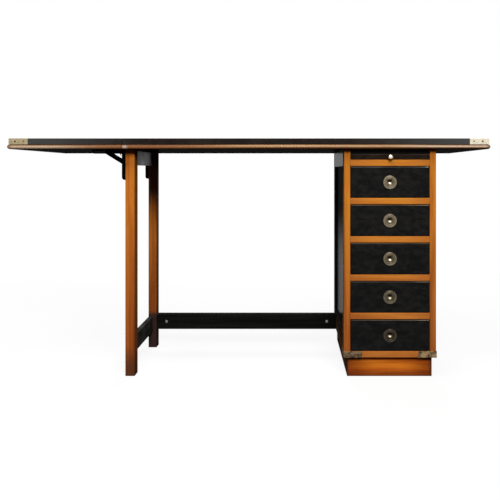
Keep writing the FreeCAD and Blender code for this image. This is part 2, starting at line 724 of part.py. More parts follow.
def plinth():
    """Four boards under the carcass: front, back and two sides between them."""
    x0 = ped_left + PLINTH_SIDE_INSET
    x1 = ped_right - PLINTH_SIDE_INSET
    y0 = ped_front + PLINTH_END_INSET
    y1 = ped_back - PLINTH_END_INSET
    ends = [box(x0, x1, y0, y0 + PLINTH_THICKNESS, 0, PLINTH_HEIGHT),
            box(x0, x1, y1 - PLINTH_THICKNESS, y1, 0, PLINTH_HEIGHT)]
    side = box(x0, x0 + PLINTH_THICKNESS, y0 + PLINTH_THICKNESS, y1 - PLINTH_THICKNESS, 0, PLINTH_HEIGHT)
    return [eased_along(end, WOOD_EASE, Vector(0, 0, 1)) for end in ends] + [side, mirrored_x(side)]


def brass_shoe():
    """Brass angle round the pedestal's lower left front corner."""
    x0 = ped_left - SHOE_THICKNESS
    y0 = ped_front - SHOE_THICKNESS
    z1 = PLINTH_HEIGHT + RAIL_HEIGHT
    outer = eased_along(box(x0, ped_left + SHOE_LENGTH, y0, ped_front + SHOE_LENGTH, PLINTH_HEIGHT, z1),
                        WOOD_EASE, Vector(0, 0, 1))
    return outer.cut(box(ped_left, ped_right, ped_front, ped_back, PLINTH_HEIGHT, z1))


def shoe_screw_places():
    """Two screws in each flange of the left brass shoe."""
    z = PLINTH_HEIGHT + RAIL_HEIGHT / 2
    places = []
    for reach in [SHOE_LENGTH * share for share in SHOE_SCREW_SHARES]:
        places.append((Vector(ped_left + reach, ped_front - SHOE_THICKNESS, z), Vector(0, -1, 0)))
        places.append((Vector(ped_left - SHOE_THICKNESS, ped_front + reach, z), Vector(-1, 0, 0)))
    return places


# Writing slide


def slide_boards():
    """Slide board and the strip across its front edge, bored for the knob."""
    left = bay_left + SLIDE_GAP
    right = bay_right - SLIDE_GAP
    top = slide_bottom + SLIDE_THICKNESS
    joint_y = slide_front_y + SLIDE_EDGE_DEPTH
    board = box(left, right, joint_y, back_panel_front - SLIDE_BACK_GAP, slide_bottom, top)
    edge = eased_front(box(left, right, slide_front_y, joint_y, slide_bottom, top), WOOD_EASE)
    stud = rod(knob_place(), Vector(0, 1, 0), KNOB_STUD_RADIUS + FIXED_FIT, KNOB_STUD_LENGTH + FIXED_FIT)
    return board, edge.cut(stud)


def knob_place():
    """Middle of the knob's rose on the slide's front edge."""
    return Vector(ped_middle, slide_front_y, slide_bottom + SLIDE_THICKNESS / 2)


def knob():
    """Turned brass knob: a rose, a neck and a ball, with a stud into the slide."""
    rose = Part.makeCylinder(KNOB_ROSE_RADIUS, KNOB_ROSE_HEIGHT)
    neck = Part.makeCylinder(KNOB_NECK_RADIUS, KNOB_ROSE_HEIGHT + KNOB_NECK_LENGTH)
    ball_rise = KNOB_ROSE_HEIGHT + KNOB_NECK_LENGTH + math.sqrt(KNOB_RADIUS ** 2 - KNOB_NECK_RADIUS ** 2)
    ball = Part.makeSphere(KNOB_RADIUS, Vector(0, 0, ball_rise))
    stud = rod(Vector(0, 0, 0), Vector(0, 0, -1), KNOB_STUD_RADIUS, KNOB_STUD_LENGTH)
    return facing(neck.fuse([rose, ball, stud]).removeSplitter(), knob_place(), Vector(0, -1, 0))


# Drawers


def pull_seat(z):
    """Middle of a pull on a drawer's front face."""
    return Vector(ped_middle, drawer_face_y, z + drawer_height / 2)


def outward(shape, z):
    """Pull piece made along +Z with +Y up, set on the face of the drawer whose lower edge is at z."""
    turned = shape.copy()
    turned.Placement = FreeCAD.Placement(pull_seat(z), FreeCAD.Rotation(Vector(1, 0, 0), 90))
    return turned


def pull_plate():
    """Round plate with a tray and a hinge notch for the ring, a fingertip dimple and trunnion holes."""
    disc = Part.makeCylinder(PULL_RADIUS, PULL_LET_IN + PULL_PROUD, Vector(0, 0, -PULL_LET_IN))
    rim = [e for e in disc.Edges if e.BoundBox.ZMin > 0]
    disc = disc.makeFillet(PULL_EASE, rim)
    tray = Part.makeCylinder(TRAY_RADIUS, TRAY_DEPTH, Vector(0, 0, tray_floor))
    notch = box(-notch_half, notch_half, ring_pivot_up - ring_swing, notch_top, notch_floor, PULL_PROUD)
    ball_radius = (DIMPLE_RADIUS ** 2 + DIMPLE_DEPTH ** 2) / (2 * DIMPLE_DEPTH)
    dimple = Part.makeSphere(ball_radius, Vector(0, 0, tray_floor + ball_radius - DIMPLE_DEPTH))
    bore = rod(Vector(-trunnion_reach - SIDE_PLAY, ring_pivot_up, ring_pivot_out), Vector(1, 0, 0),
               TRUNNION_RADIUS + RUNNING_FIT, 2 * (trunnion_reach + SIDE_PLAY))
    return disc.cut([tray, notch, dimple, bore])


def pull_ring():
    """Flat ring with rounded edges and two trunnions at its top."""
    band = Part.makeCylinder(RING_OUTER, RING_THICKNESS, Vector(0, 0, ring_back))
    band = band.cut(Part.makeCylinder(RING_INNER, RING_THICKNESS, Vector(0, 0, ring_back)))
    band = band.makeFillet(RING_EASE, [e for e in band.Edges if e.Curve.TypeId == "Part::GeomCircle"])
    axle = rod(Vector(-trunnion_reach, ring_pivot_up, ring_pivot_out), Vector(1, 0, 0), TRUNNION_RADIUS,
               2 * trunnion_reach)
    return band.fuse(axle).removeSplitter()


def drawer_front(z, floor):
    """Inset drawer front, grooved for the floor and pocketed for the pull."""
    blank = box(drawer_left, drawer_right, drawer_face_y, drawer_wall_y, z, z + drawer_height)
    pocket = rod(pull_seat(z), Vector(0, 1, 0), PULL_RADIUS + LET_IN_FIT, PULL_LET_IN + LET_IN_FIT)
    return eased_front(blank, DRAWER_EASE).cut([pocket, floor])


def drawer_box(z):
    """Two side walls, the back wall and the floor of a drawer."""
    left = drawer_left + DRAWER_WALL_INSET
    right = drawer_right - DRAWER_WALL_INSET
    top = z + drawer_height - DRAWER_WALL_DROP
    floor_z = z + DRAWER_FLOOR_RAISE
    inner = DRAWER_WALL - DRAWER_GROOVE
    floor = box(left + inner, right - inner, drawer_wall_y - DRAWER_GROOVE, drawer_back_y - inner,
                floor_z, floor_z + DRAWER_FLOOR_THICKNESS)
    side = box(left, left + DRAWER_WALL, drawer_wall_y, drawer_back_y, z, top).cut(floor)
    rear = box(left + DRAWER_WALL, right - DRAWER_WALL, drawer_back_y - DRAWER_WALL, drawer_back_y, z, top)
    return [side, mirrored_x(side), rear.cut(floor), floor]


# Assembly


def export(name, pieces):
    """Write one named piece, or a group of like pieces, as a STEP file."""
    shape = pieces[0] if len(pieces) == 1 else Part.makeCompound(pieces)
    shape.exportStep("parts/" + name + ".step")


def export_top():
    """Fixed part of the top."""
    board, corners, screws = cornered_board(main_edge, right_tip - NOSING_PROUD, right_tip - NOSING_PROUD, -1)
    export("top_board", [board])
    export("top_lining", [lining(main_edge, right_tip - NOSING_WIDTH)])
    export("top_nosing", nosing(main_edge, right_tip))
    export("top_corners", corners)
    return screws


def export_leaf():
    """Drop leaf with the bracket arms that are screwed to it."""
    board, corners, screws = cornered_board(left_tip + NOSING_PROUD, leaf_edge, left_tip + NOSING_PROUD, 1)
    export("leaf_board", [board])
    export("leaf_nosing", nosing(leaf_edge, left_tip))
    export("leaf_corners", corners)
    export("leaf_corner_screws", screws)
    places = [place for y in bracket_ys.values() for place in arm_screw_places(y)]
    arm_screws, holes = pan_set(places)
    export("leaf_lining", [lining(left_tip + NOSING_WIDTH, leaf_edge).cut(holes)])
    export("bracket_arms", [arm(y).cut(holes) for y in bracket_ys.values()])
    export("arm_screws", arm_screws)


def export_leg_frame():
    """Legs, rails, long stretcher with its fasteners, and the fixed and folding bracket pieces."""
    places = [place for y in bracket_ys.values() for place in upright_screw_places(y)]
    screws, screw_holes = pan_set(places)
    bolts, bores, barrel_xs = stretcher_fasteners()
    apron = frame_rail(underside - APRON_HEIGHT, underside)
    side_stretcher = frame_rail(SIDE_STRETCHER_BOTTOM, SIDE_STRETCHER_BOTTOM + SIDE_STRETCHER_HEIGHT)
    joints = [apron, side_stretcher] + screw_holes
    export("front_leg", [leg(front_leg_y).cut(joints)])
    export("back_leg", [leg(back_leg_y).cut(joints + bores[:1])])
    export("leg_apron", [apron])
    export("side_stretcher", [side_stretcher])
    export("long_stretcher", [stretcher(bores, barrel_xs)])
    export("stretcher_bolts", bolts)
    export("barrel_nuts", [barrel_nut(x, bores) for x in barrel_xs])
    export("bracket_uprights", [upright(y).cut(screw_holes) for y in bracket_ys.values()])
    export("bracket_pins", [pin(y) for y in bracket_ys.values() for pin in (hinge_pin, strut_rivet)])
    export("bracket_screws", screws)
    for name, y in bracket_ys.items():
        export(name + "_strut", [strut(y)])
    return bores


def export_pedestal(bores, top_screws):
    """Carcass, plinth and brass shoes of the pedestal."""
    rails = [front_rail(z) for z in rail_bottoms]
    left_screws, left_holes = countersunk_set(shoe_screw_places())
    right_holes = [mirrored_x(h) for h in left_holes]
    stile, post, left_rails = left_side(rails + left_holes)
    panel = left_panel()
    right_rails = [mirrored_x(r) for r in left_rails]
    left_rails = [left_rails[0].cut(bores[1])] + left_rails[1:]
    top, bottom = carcass_boards()
    shoe = brass_shoe().cut(left_holes)
    export("left_stile", [stile])
    export("right_stile", [mirrored_x(stile)])
    export("front_rails", [rails[0].cut(left_holes + right_holes)] + rails[1:])
    export("back_posts", [post, mirrored_x(post)])
    export("side_rails", left_rails + right_rails)
    export("left_side_panel", [panel])
    export("right_side_panel", [mirrored_x(panel)])
    export("back_panel", [back_panel()])
    export("carcass_top", [top])
    export("carcass_bottom", [bottom])
    export("drawer_runners", runners())
    export("plinth", plinth())
    export("brass_shoes", [shoe, mirrored_x(shoe)])
    export("corner_screws", top_screws + left_screws + [mirrored_x(s) for s in left_screws])


def export_slide():
    """Writing slide."""
    board, edge = slide_boards()
    export("slide_board", [board])
    export("slide_edge", [edge])
    export("slide_knob", [knob()])


def export_drawers():
    """Drawers from the top one down, each with its pull plate and ring."""
    for number, rail_bottom in enumerate(reversed(rail_bottoms[:-1]), start=1):
        z = rail_bottom + RAIL_HEIGHT + DRAWER_BOTTOM_GAP
        walls = drawer_box(z)
        name = "drawer_" + str(number)
        export(name + "_front", [drawer_front(z, walls[-1])])
        export(name + "_box", walls)
        export(name + "_pull_plate", [outward(pull_plate(), z)])
        export(name + "_pull_ring", [outward(pull_ring(), z)])


def main():
    """Build every piece."""
    os.makedirs("parts", exist_ok=True)
    top_screws = export_top()
    export_leaf()
    bores = export_leg_frame()
    export_pedestal(bores, top_screws)
    export_slide()
    export_drawers()


if __name__ == "__main__":
    main()
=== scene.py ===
"""Looks of a campaign desk in black lacquer and honey-stained wood, dressed over its CAD frame.

The frame holds every piece at its real size, in metres, with the front towards -Y and +Z up. The joinery
and the steel keep their CAD shapes and get their finishes here. The half-round nosings, the ring pulls and
the knob of the writing slide are replaced by smooth surfaces of the same size in the same place.
"""
import logging
import math
from dataclasses import dataclass, field, replace
from enum import Enum

import bpy
import numpy as np
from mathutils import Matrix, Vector
from numpy.typing import NDArray


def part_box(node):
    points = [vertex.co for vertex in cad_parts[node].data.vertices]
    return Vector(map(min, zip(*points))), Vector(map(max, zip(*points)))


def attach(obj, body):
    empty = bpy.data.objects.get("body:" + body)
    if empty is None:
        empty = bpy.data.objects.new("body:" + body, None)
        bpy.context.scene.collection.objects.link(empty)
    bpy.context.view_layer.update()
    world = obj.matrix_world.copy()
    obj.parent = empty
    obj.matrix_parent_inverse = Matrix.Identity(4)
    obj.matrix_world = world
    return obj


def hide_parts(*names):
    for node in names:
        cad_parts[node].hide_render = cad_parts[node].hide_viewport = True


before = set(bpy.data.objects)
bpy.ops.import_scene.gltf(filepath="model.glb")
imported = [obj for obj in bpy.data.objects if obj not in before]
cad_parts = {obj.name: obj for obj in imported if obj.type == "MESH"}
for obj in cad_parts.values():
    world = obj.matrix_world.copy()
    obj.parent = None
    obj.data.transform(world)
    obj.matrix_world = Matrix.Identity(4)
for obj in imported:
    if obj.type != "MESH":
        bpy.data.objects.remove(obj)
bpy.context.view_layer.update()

LOG = logging.getLogger("campaign_desk")

Array = NDArray[np.float64]
Colour = tuple[float, float, float, float]
Socket = bpy.types.NodeSocket
Value = float | str | Colour | tuple[float, float, float] | Socket
Faces = list[list[int]]
Span = tuple[float, float]

WHITE = "#FFFFFF"
X_AXIS, Y_AXIS, Z_AXIS = range(3)
UP = np.array([0.0, 0.0, 1.0])


def srgb(code: str) -> Colour:
    """Turns a display colour into the linear colour that a shader takes.

    Args:
        code: the colour's red, green and blue, such as "#CC8228".

    Returns:
        Red, green, blue and an alpha of 1, by the sRGB curve: a straight foot and a power above it.
    """
    parts = np.array(list(bytes.fromhex(code[1:]))) / 255.0
    foot, slope, offset, power = 0.04045, 12.92, 0.055, 2.4
    linear = np.where(parts <= foot, parts / slope, ((parts + offset) / (1 + offset)) ** power)
    return (*linear.tolist(), 1.0)


class Grain(Enum):
    """Which way the grain, the brush strokes or the polishing marks of a piece run."""

    ALONG_X = "along_x"
    ALONG_Y = "along_y"
    ALONG_Z = "along_z"
    BY_FACE = "by_face"
    ALONG_STRIP = "along_strip"


@dataclass(frozen=True)
class Pattern:
    """A cloudy pattern that runs with the grain.

    across and along are its steps to the metre. More detail makes it finer, more raggedness makes its fine
    part stronger, and bend swirls it. It begins to show at the level start, and is full at the level full.
    """

    across: float
    along: float
    detail: float = 2.0
    ragged: float = 0.5
    bend: float = 0.0
    start: float = 0.3
    full: float = 0.7


BRUSH_STROKES = Pattern(across=240.0, along=4.0, detail=4.0, ragged=0.6)
LACQUER_CLOUDS = Pattern(across=30.0, along=20.0, detail=4.0, ragged=0.6, start=0.35, full=0.68)
FINE_CLOUDS = replace(LACQUER_CLOUDS, across=70.0, along=45.0)
LONG_CLOUDS = replace(LACQUER_CLOUDS, across=90.0, along=3.0)
DUST_SPECKS = Pattern(across=330.0, along=260.0, detail=1.0, start=0.7, full=0.8)
LACQUER_RUB = Pattern(across=90.0, along=9.0, detail=4.0, ragged=0.65, start=0.44, full=0.62)
GLINT_BREAKS = Pattern(across=30.0, along=7.0)
WOOD_FIGURE = Pattern(across=46.0, along=2.6, detail=3.0, ragged=0.55, bend=0.8)
WOOD_FIBRE = Pattern(across=520.0, along=9.0, detail=3.0, ragged=0.6)
WOOD_PORES = Pattern(across=1500.0, along=42.0, detail=1.0, start=0.66, full=0.74)
WOOD_RUB = Pattern(across=70.0, along=6.0, detail=4.0, ragged=0.65, start=0.35, full=0.65)
FOOT_GRIME_AND_SHADE = Pattern(across=30.0, along=12.0, detail=3.0)
NOSE_PATCHES = Pattern(across=9.0, along=3.0, start=0.35, full=0.7)
END_WAVES = Pattern(across=40.0, along=9.0)
HEAD_WAVES = Pattern(across=60.0, along=9.0)
TARNISH_CLOUDS = Pattern(across=120.0, along=90.0, detail=5.0, ragged=0.62, start=0.4, full=0.64)
SHOE_CLOUDS = replace(TARNISH_CLOUDS, across=85.0, along=63.75)
RUBBING_MARKS = Pattern(across=2600.0, along=120.0)
BRASS_PITS = Pattern(across=900.0, along=900.0, detail=1.0, start=0.68, full=0.76)
STEEL_MOTTLE = Pattern(across=340.0, along=240.0, detail=4.0, ragged=0.6, start=0.35, full=0.7)
STEEL_SCRATCHES = Pattern(across=1900.0, along=60.0, start=0.64, full=0.74)
STEEL_CHIPS = Pattern(across=260.0, along=160.0, detail=3.0, start=0.5, full=0.62)

DULL_SPAN: Span = (0.3, 0.7)
SIDEWAYS_SPAN: Span = (0.3, 0.8)
UPWARD_SPAN: Span = (0.5, 0.9)


class NodeTree:
    """A tree of shader nodes, with short methods for the nodes that both the finishes and the studio use."""

    def __init__(self, tree: bpy.types.NodeTree) -> None:
        """Takes a tree and empties it."""
        self.tree = tree
        self.tree.nodes.clear()

    def node(self, kind: str, inputs: dict[str | int, Value] | None = None,
             **settings: object) -> bpy.types.Node:
        """Adds a node.

        Args:
            kind: Blender's name of the node type.
            inputs: a socket to link, or a value or display colour to set, by the input's name or number.
            settings: the node's own properties.

        Returns:
            The node.
        """
        made = self.tree.nodes.new(kind)
        for key, value in settings.items():
            setattr(made, key, value)
        for key, value in (inputs or {}).items():
            if isinstance(value, bpy.types.NodeSocket):
                self.tree.links.new(value, made.inputs[key])
            else:
                made.inputs[key].default_value = srgb(value) if isinstance(value, str) else value
        return made

    def math(self, operation: str, a: Value, b: Value = 0.0) -> Socket:
        """One sum, such as "ADD", of two values."""
        return self.node("ShaderNodeMath", {0: a, 1: b}, operation=operation).outputs[0]

    def times(self, first: Value, *others: Value) -> Socket:
        """Multiplies values.

        Args:
            first: one value.
            others: the other values.

        Returns:
            Their product.
        """
        product = first
        for other in others:
            product = self.math("MULTIPLY", product, other)
        return product

    def seen(self) -> Socket:
        """Tells what the camera sees from the rest of the light.

        Returns:
            1 for what the camera sees straight, in a reflection or through glass, and 0 for all else.
        """
        paths = self.node("ShaderNodeLightPath").outputs
        either = self.math("MAXIMUM", paths["Is Camera Ray"], paths["Is Glossy Ray"])
        return self.math("MAXIMUM", either, paths["Is Transmission Ray"])


class Shader(NodeTree):
    """Node tree of one material, with a short method for each kind of node that the finishes use."""

    COLOUR_A, COLOUR_B, COLOUR_OUT = 6, 7, 2
    FACE_ON: float = 0.5
    EDGE_SAMPLES: int = 6
    NEAR_SPAN: Span = (0.01, 0.22)
    UPPER_SPAN: Span = (0.2, 0.6)
    LEVEL_SPAN: Span = (0.82, 0.97)

    def __init__(self, name: str) -> None:
        """Starts an empty tree.

        Args:
            name: name of the new material.
        """
        self.material = bpy.data.materials.new(name)
        self.material.use_nodes = True
        super().__init__(self.material.node_tree)
        self.places = self.node("ShaderNodeTexCoord").outputs

    def fade(self, value: Value, start: float, end: float, low: float = 0.0, high: float = 1.0) -> Socket:
        """Smooth change from low to high while the value goes from start to end."""
        inputs = {"Value": value, "From Min": start, "From Max": end, "To Min": low, "To Max": high}
        return self.node("ShaderNodeMapRange", inputs, interpolation_type="SMOOTHSTEP").outputs[0]

    def mix(self, share: Value, a: Value, b: Value) -> Socket:
        """Colour a at share 0, colour b at share 1."""
        inputs = {"Factor": share, self.COLOUR_A: a, self.COLOUR_B: b}
        return self.node("ShaderNodeMix", inputs, data_type="RGBA").outputs[self.COLOUR_OUT]

    def split(self, vector: Value) -> tuple[Socket, Socket, Socket]:
        """The three parts of a vector."""
        return tuple(self.node("ShaderNodeSeparateXYZ", {0: vector}).outputs)

    def join(self, x: Value, y: Value, z: Value) -> Socket:
        """A vector from its three parts."""
        return self.node("ShaderNodeCombineXYZ", {0: x, 1: y, 2: z}).outputs[0]

    def at(self, axis: int) -> Socket:
        """Place along one of the frame's axes, in metres, as the piece stands at rest."""
        return self.split(self.places["Object"])[axis]

    def facing(self, axis: int) -> Socket:
        """How far the surface looks along one of the frame's axes, from -1 to 1."""
        return self.split(self.places["Normal"])[axis]

    def sideways(self, share: float) -> Socket:
        """That share on faces that look left or right, and 0 on the others."""
        return self.fade(self.away(self.facing(X_AXIS)), *SIDEWAYS_SPAN, 0.0, share)

    def away(self, value: Value, middle: float = 0.0) -> Socket:
        """Distance of a value from a middle."""
        return self.math("ABSOLUTE", self.math("SUBTRACT", value, middle))

    def marked(self, attribute: str) -> Socket:
        """A number that the mesh holds for each of its points."""
        return self.node("ShaderNodeAttribute", attribute_name=attribute).outputs["Fac"]

    def grain(self, grain: Grain) -> Socket:
        """Turns places so that the grain runs along the third axis.

        Args:
            grain: the way that the grain runs on the piece.

        Returns:
            The turned places, in metres. BY_FACE takes faces that look along Y with the grain along X, and
            others with the grain along Y.
        """
        if grain is Grain.ALONG_STRIP:
            along, across, _ = self.split(self.places["UV"])
            return self.join(across, 0.0, along)
        x, y, z = self.split(self.places["Object"])
        if grain is Grain.ALONG_Z:
            return self.join(x, y, z)
        if grain is Grain.ALONG_X:
            return self.join(y, z, x)
        if grain is Grain.ALONG_Y:
            return self.join(z, x, y)
        share = self.math("GREATER_THAN", self.away(self.facing(Y_AXIS)), self.FACE_ON)
        return self.mix(share, self.join(z, x, y), self.join(y, z, x))

    def noise(self, run: Socket, pattern: Pattern) -> Socket:
        """Lays a pattern over a piece.

        Args:
            run: places turned to the grain.
            pattern: the pattern.

        Returns:
            The pattern's level, from 0 to 1.
        """
        steps = {"Vector": run, "Scale": (pattern.across, pattern.across, pattern.along)}
        inputs = {"Vector": self.node("ShaderNodeMapping", steps).outputs[0], "Scale": 1.0,
                  "Detail": pattern.detail, "Roughness": pattern.ragged, "Distortion": pattern.bend}
        return self.node("ShaderNodeTexNoise", inputs).outputs[0]

    def shown(self, run: Socket, pattern: Pattern, low: float = 0.0, high: float = 1.0) -> Socket:
        """A pattern as a share, from low where it begins to show to high where it shows in full."""
        return self.fade(self.noise(run, pattern), pattern.start, pattern.full, low, high)

    def edges(self, radius: float) -> tuple[Socket, Socket, Socket]:
        """Finds the arrises of a piece.

        Args:
            radius: how far from an arris it counts, in metres.

        Returns:
            Nearness to an arris, a 1 where its rounding looks up and out, and the rounded normal.
        """
        rounded = self.node("ShaderNodeBevel", {"Radius": radius}, samples=self.EDGE_SAMPLES).outputs[0]
        flat = self.node("ShaderNodeNewGeometry").outputs["True Normal"]
        product = self.node("ShaderNodeVectorMath", {0: rounded, 1: flat}, operation="DOT_PRODUCT")
        near = self.fade(self.math("SUBTRACT", 1.0, product.outputs["Value"]), *self.NEAR_SPAN)
        turned_back = self.node("ShaderNodeVectorTransform", {0: rounded}, vector_type="NORMAL",
                                convert_from="WORLD", convert_to="OBJECT").outputs[0]
        rise = self.split(turned_back)[Z_AXIS]
        upper = self.times(self.fade(rise, *self.UPPER_SPAN), self.fade(rise, *self.LEVEL_SPAN, 1.0, 0.0))
        return near, upper, rounded

    def bump(self, height: Value, depth: float, normal: Socket) -> Socket:
        """Normal of a relief on another normal: its height goes from 0 to 1 over that depth in metres."""
        inputs = {"Height": height, "Distance": depth, "Strength": 1.0, "Normal": normal}
        return self.node("ShaderNodeBump", inputs).outputs[0]

    def surface(self, colour: Value, roughness: Value, normal: Socket, varnish: Value = 0.0,
                **levels: Value) -> bpy.types.Material:
        """Closes the tree with a surface shader.

        Args:
            colour: base colour.
            roughness: roughness from 0 to 1.
            normal: normal with the relief.
            varnish: share of the surface that still has its clear varnish.
            levels: the shader's even levels, named with underscores for spaces.

        Returns:
            The finished material.
        """
        inputs = {"Base Color": colour, "Roughness": roughness, "Normal": normal, "Coat Weight": varnish}
        inputs.update({name.replace("_", " "): level for name, level in levels.items()})
        shader = self.node("ShaderNodeBsdfPrincipled", inputs)
        self.node("ShaderNodeOutputMaterial", {"Surface": shader.outputs[0]})
        return self.material


@dataclass(frozen=True)
class BlackLacquer:
    """Brushed black lacquer: cloudy, with dust specks, rubbed arrises and a painted highlight along the upper
    ones.

    A piece can have a painted sheen, greyer towards the two ends of the desk and less so where it looks up.
    The painted highlight has the share glint_even of its strength as far as glint_from along the desk, and
    all of it from glint_to.
    """

    name: str
    body: str = "#0F0F0F"
    cloud: str = "#1C1B1A"
    clouds: Pattern = LACQUER_CLOUDS
    speck: str = "#45423D"
    speck_share: float = 0.6
    speck_dull: float = 0.2
    speck_relief: float = 0.5
    stroke_relief: float = 0.7
    relief: float = 0.00006
    arris: float = 0.0022
    rub: str = "#553A24"
    rub_share: float = 0.4
    glint: str = "#D2CEC6"
    glint_share: float = 0.6
    glint_least: float = 0.4
    glint_even: float = 1.0
    glint_from: float = 0.5
    glint_to: float = 0.58
    painted_sheen: str = "#4A4A49"
    painted_sheen_share: float = 0.0
    painted_sheen_top: float = 0.25
    painted_sheen_span: Span = (0.3, 0.74)
    smooth: float = 0.28
    dull: float = 0.42
    specular: float = 0.03
    gloss: float = 0.0
    gloss_roughness: float = 0.22

    def varnish(self, s: Shader) -> Value:
        """Share of the lacquer that has a clear gloss coat, even on a plain piece."""
        return self.gloss

    def figured(self, s: Shader, colour: Socket) -> Socket:
        """Colour of the sound lacquer: a plain piece keeps it as it is."""
        return colour

    def material(self, grain: Grain) -> bpy.types.Material:
        """Makes the lacquer.

        Args:
            grain: the way that its brush strokes run.

        Returns:
            The material.
        """
        s = Shader(f"{self.name}_{grain.value}")
        run = s.grain(grain)
        across = s.at(X_AXIS)
        clouds = s.noise(run, self.clouds)
        specks = s.shown(run, DUST_SPECKS, 0.0, self.speck_share)
        near, upper, rounded = s.edges(self.arris)
        cloudy = s.fade(clouds, self.clouds.start, self.clouds.full)
        colour = self.figured(s, s.mix(cloudy, self.body, self.cloud))
        # painted sheen: greyer towards the desk's two ends, less on faces that look up
        ends = s.fade(s.away(across), *self.painted_sheen_span, 0.0, self.painted_sheen_share)
        upright = s.fade(s.facing(Z_AXIS), *UPWARD_SPAN, 1.0, self.painted_sheen_top)
        colour = s.mix(s.times(ends, upright), colour, self.painted_sheen)
        colour = s.mix(specks, colour, self.speck)
        colour = s.mix(s.times(near, s.shown(run, LACQUER_RUB), self.rub_share), colour, self.rub)
        # painted highlight: a light line along the upper arrises, strongest from glint_to along the desk
        thin = s.shown(run, GLINT_BREAKS, self.glint_least, 1.0)
        even = s.fade(across, self.glint_from, self.glint_to, self.glint_even, 1.0)
        colour = s.mix(s.times(upper, thin, even, self.glint_share), colour, self.glint)
        dulled = s.fade(clouds, *DULL_SPAN, self.smooth, self.dull)
        roughness = s.math("ADD", dulled, s.times(specks, self.speck_dull))
        strokes = s.times(s.noise(run, BRUSH_STROKES), self.stroke_relief)
        relief = s.math("ADD", strokes, s.times(specks, self.speck_relief))
        return s.surface(colour, roughness, s.bump(relief, self.relief, rounded), self.varnish(s),
                         Specular_IOR_Level=self.specular, Coat_Roughness=self.gloss_roughness)


@dataclass(frozen=True)
class RailLacquer(BlackLacquer):
    """Lacquer of the pedestal's side rails: glossy under the top, browner and lighter towards the floor."""

    lower_brown: str = "#54432F"
    lower_brown_share: float = 0.85
    lower_brown_span: Span = (0.075, 0.135)
    gloss_span: Span = (0.4, 0.64)

    def figured(self, s: Shader, colour: Socket) -> Socket:
        """Browns the lacquer of the lower rails."""
        return s.mix(s.fade(s.at(Z_AXIS), *self.lower_brown_span, self.lower_brown_share, 0.0), colour, self.lower_brown)

    def varnish(self, s: Shader) -> Value:
        """Gloss that grows from half the pedestal's height to its upper rails."""
        return s.fade(s.at(Z_AXIS), *self.gloss_span, 0.0, self.gloss)


@dataclass(frozen=True)
class PanelLacquer(BlackLacquer):
    """Lacquer of the pedestal's side panels: dull under the top, glossy from half their height down."""

    gloss_left: float = 0.02
    gloss_span: Span = (0.33, 0.53)

    def varnish(self, s: Shader) -> Value:
        """Gloss of the lower half, nearly gone above it."""
        return s.fade(s.at(Z_AXIS), *self.gloss_span, self.gloss, self.gloss_left)


@dataclass(frozen=True)
class StainedWood:
    """Stained and varnished hardwood, paler and more golden at the top of the desk than at its foot.

    The tones are the light and the dark wood at the top, then the light and the dark wood at the foot; the
    change between them is partly the stain and partly painted light, brighter high up. The foot is darker,
    partly by its stain and partly by painted shade, in full up to the height foot_full and not at all from
    foot_rise. The colour along the arrises is partly wear and partly painted shade.
    """

    name: str
    tones: tuple[str, str, str, str]
    tone_span: Span = (0.02, 0.66)
    figure_share: float = 0.72
    fibre_share: float = 0.28
    figure_span: Span = (0.36, 0.66)
    foot: str = "#6E3C1E"
    foot_share: float = 0.3
    foot_full: float = 0.0
    foot_rise: float = 0.15
    foot_span: Span = (0.0, 0.8)
    grime_and_shade_share: float = 0.3
    pore: str = "#6B3814"
    pore_share: float = 0.45
    pore_dull: float = 0.15
    fibre_relief: float = 0.5
    pore_relief: float = 0.5
    relief: float = 0.00018
    arris: float = 0.0026
    wear_and_shade: str = "#6A3A14"
    wear_and_shade_share: float = 0.3
    wear_and_shade_least: float = 0.3
    smooth: float = 0.3
    dull: float = 0.45
    specular: float = 0.0
    varnish_roughness: float = 0.2

    def figured(self, s: Shader, run: Socket, colour: Socket) -> Socket:
        """Colour of the sound wood: a plain piece keeps it as it is."""
        return colour

    def varnish(self, s: Shader) -> Value:
        """Share of the wood that still has its clear varnish: none on a plain piece."""
        return 0.0

    def material(self, grain: Grain) -> bpy.types.Material:
        """Makes the wood.

        Args:
            grain: the way that its figure, fibres and pores run.

        Returns:
            The material.
        """
        s = Shader(f"{self.name}_{grain.value}")
        run = s.grain(grain)
        height = s.at(Z_AXIS)
        fibre = s.noise(run, WOOD_FIBRE)
        pores = s.shown(run, WOOD_PORES)
        top_light, top_dark, low_light, low_dark = self.tones
        # partly painted light: the tones grow paler and more golden high up, where more light falls
        rise = s.fade(height, *self.tone_span)
        light, dark = s.mix(rise, low_light, top_light), s.mix(rise, low_dark, top_dark)
        figure = s.times(s.noise(run, WOOD_FIGURE), self.figure_share)
        shade = s.math("ADD", figure, s.times(fibre, self.fibre_share))
        colour = self.figured(s, run, s.mix(s.fade(shade, *self.figure_span), light, dark))
        colour = s.mix(s.times(pores, self.pore_share), colour, self.pore)
        # the darker foot is partly a darker stain and partly painted shade
        grime = s.times(s.noise(run, FOOT_GRIME_AND_SHADE), self.grime_and_shade_share)
        lowest = s.math("SUBTRACT", s.fade(height, self.foot_full, self.foot_rise, 1.0, 0.0), grime)
        colour = s.mix(s.fade(lowest, *self.foot_span, 0.0, self.foot_share), colour, self.foot)
        near, _, rounded = s.edges(self.arris)
        # colour along the arrises: partly wear, partly painted shade in the gaps and on the rounded edges
        broken = s.shown(run, WOOD_RUB, self.wear_and_shade_least, 1.0)
        colour = s.mix(s.times(near, broken, self.wear_and_shade_share), colour, self.wear_and_shade)
        dulled = s.fade(fibre, *DULL_SPAN, self.smooth, self.dull)
        roughness = s.math("ADD", dulled, s.times(pores, self.pore_dull))
        relief = s.math("SUBTRACT", s.times(fibre, self.fibre_relief), s.times(pores, self.pore_relief))
        return s.surface(colour, roughness, s.bump(relief, self.relief, rounded), self.varnish(s),
                         Specular_IOR_Level=self.specular, Coat_Roughness=self.varnish_roughness)


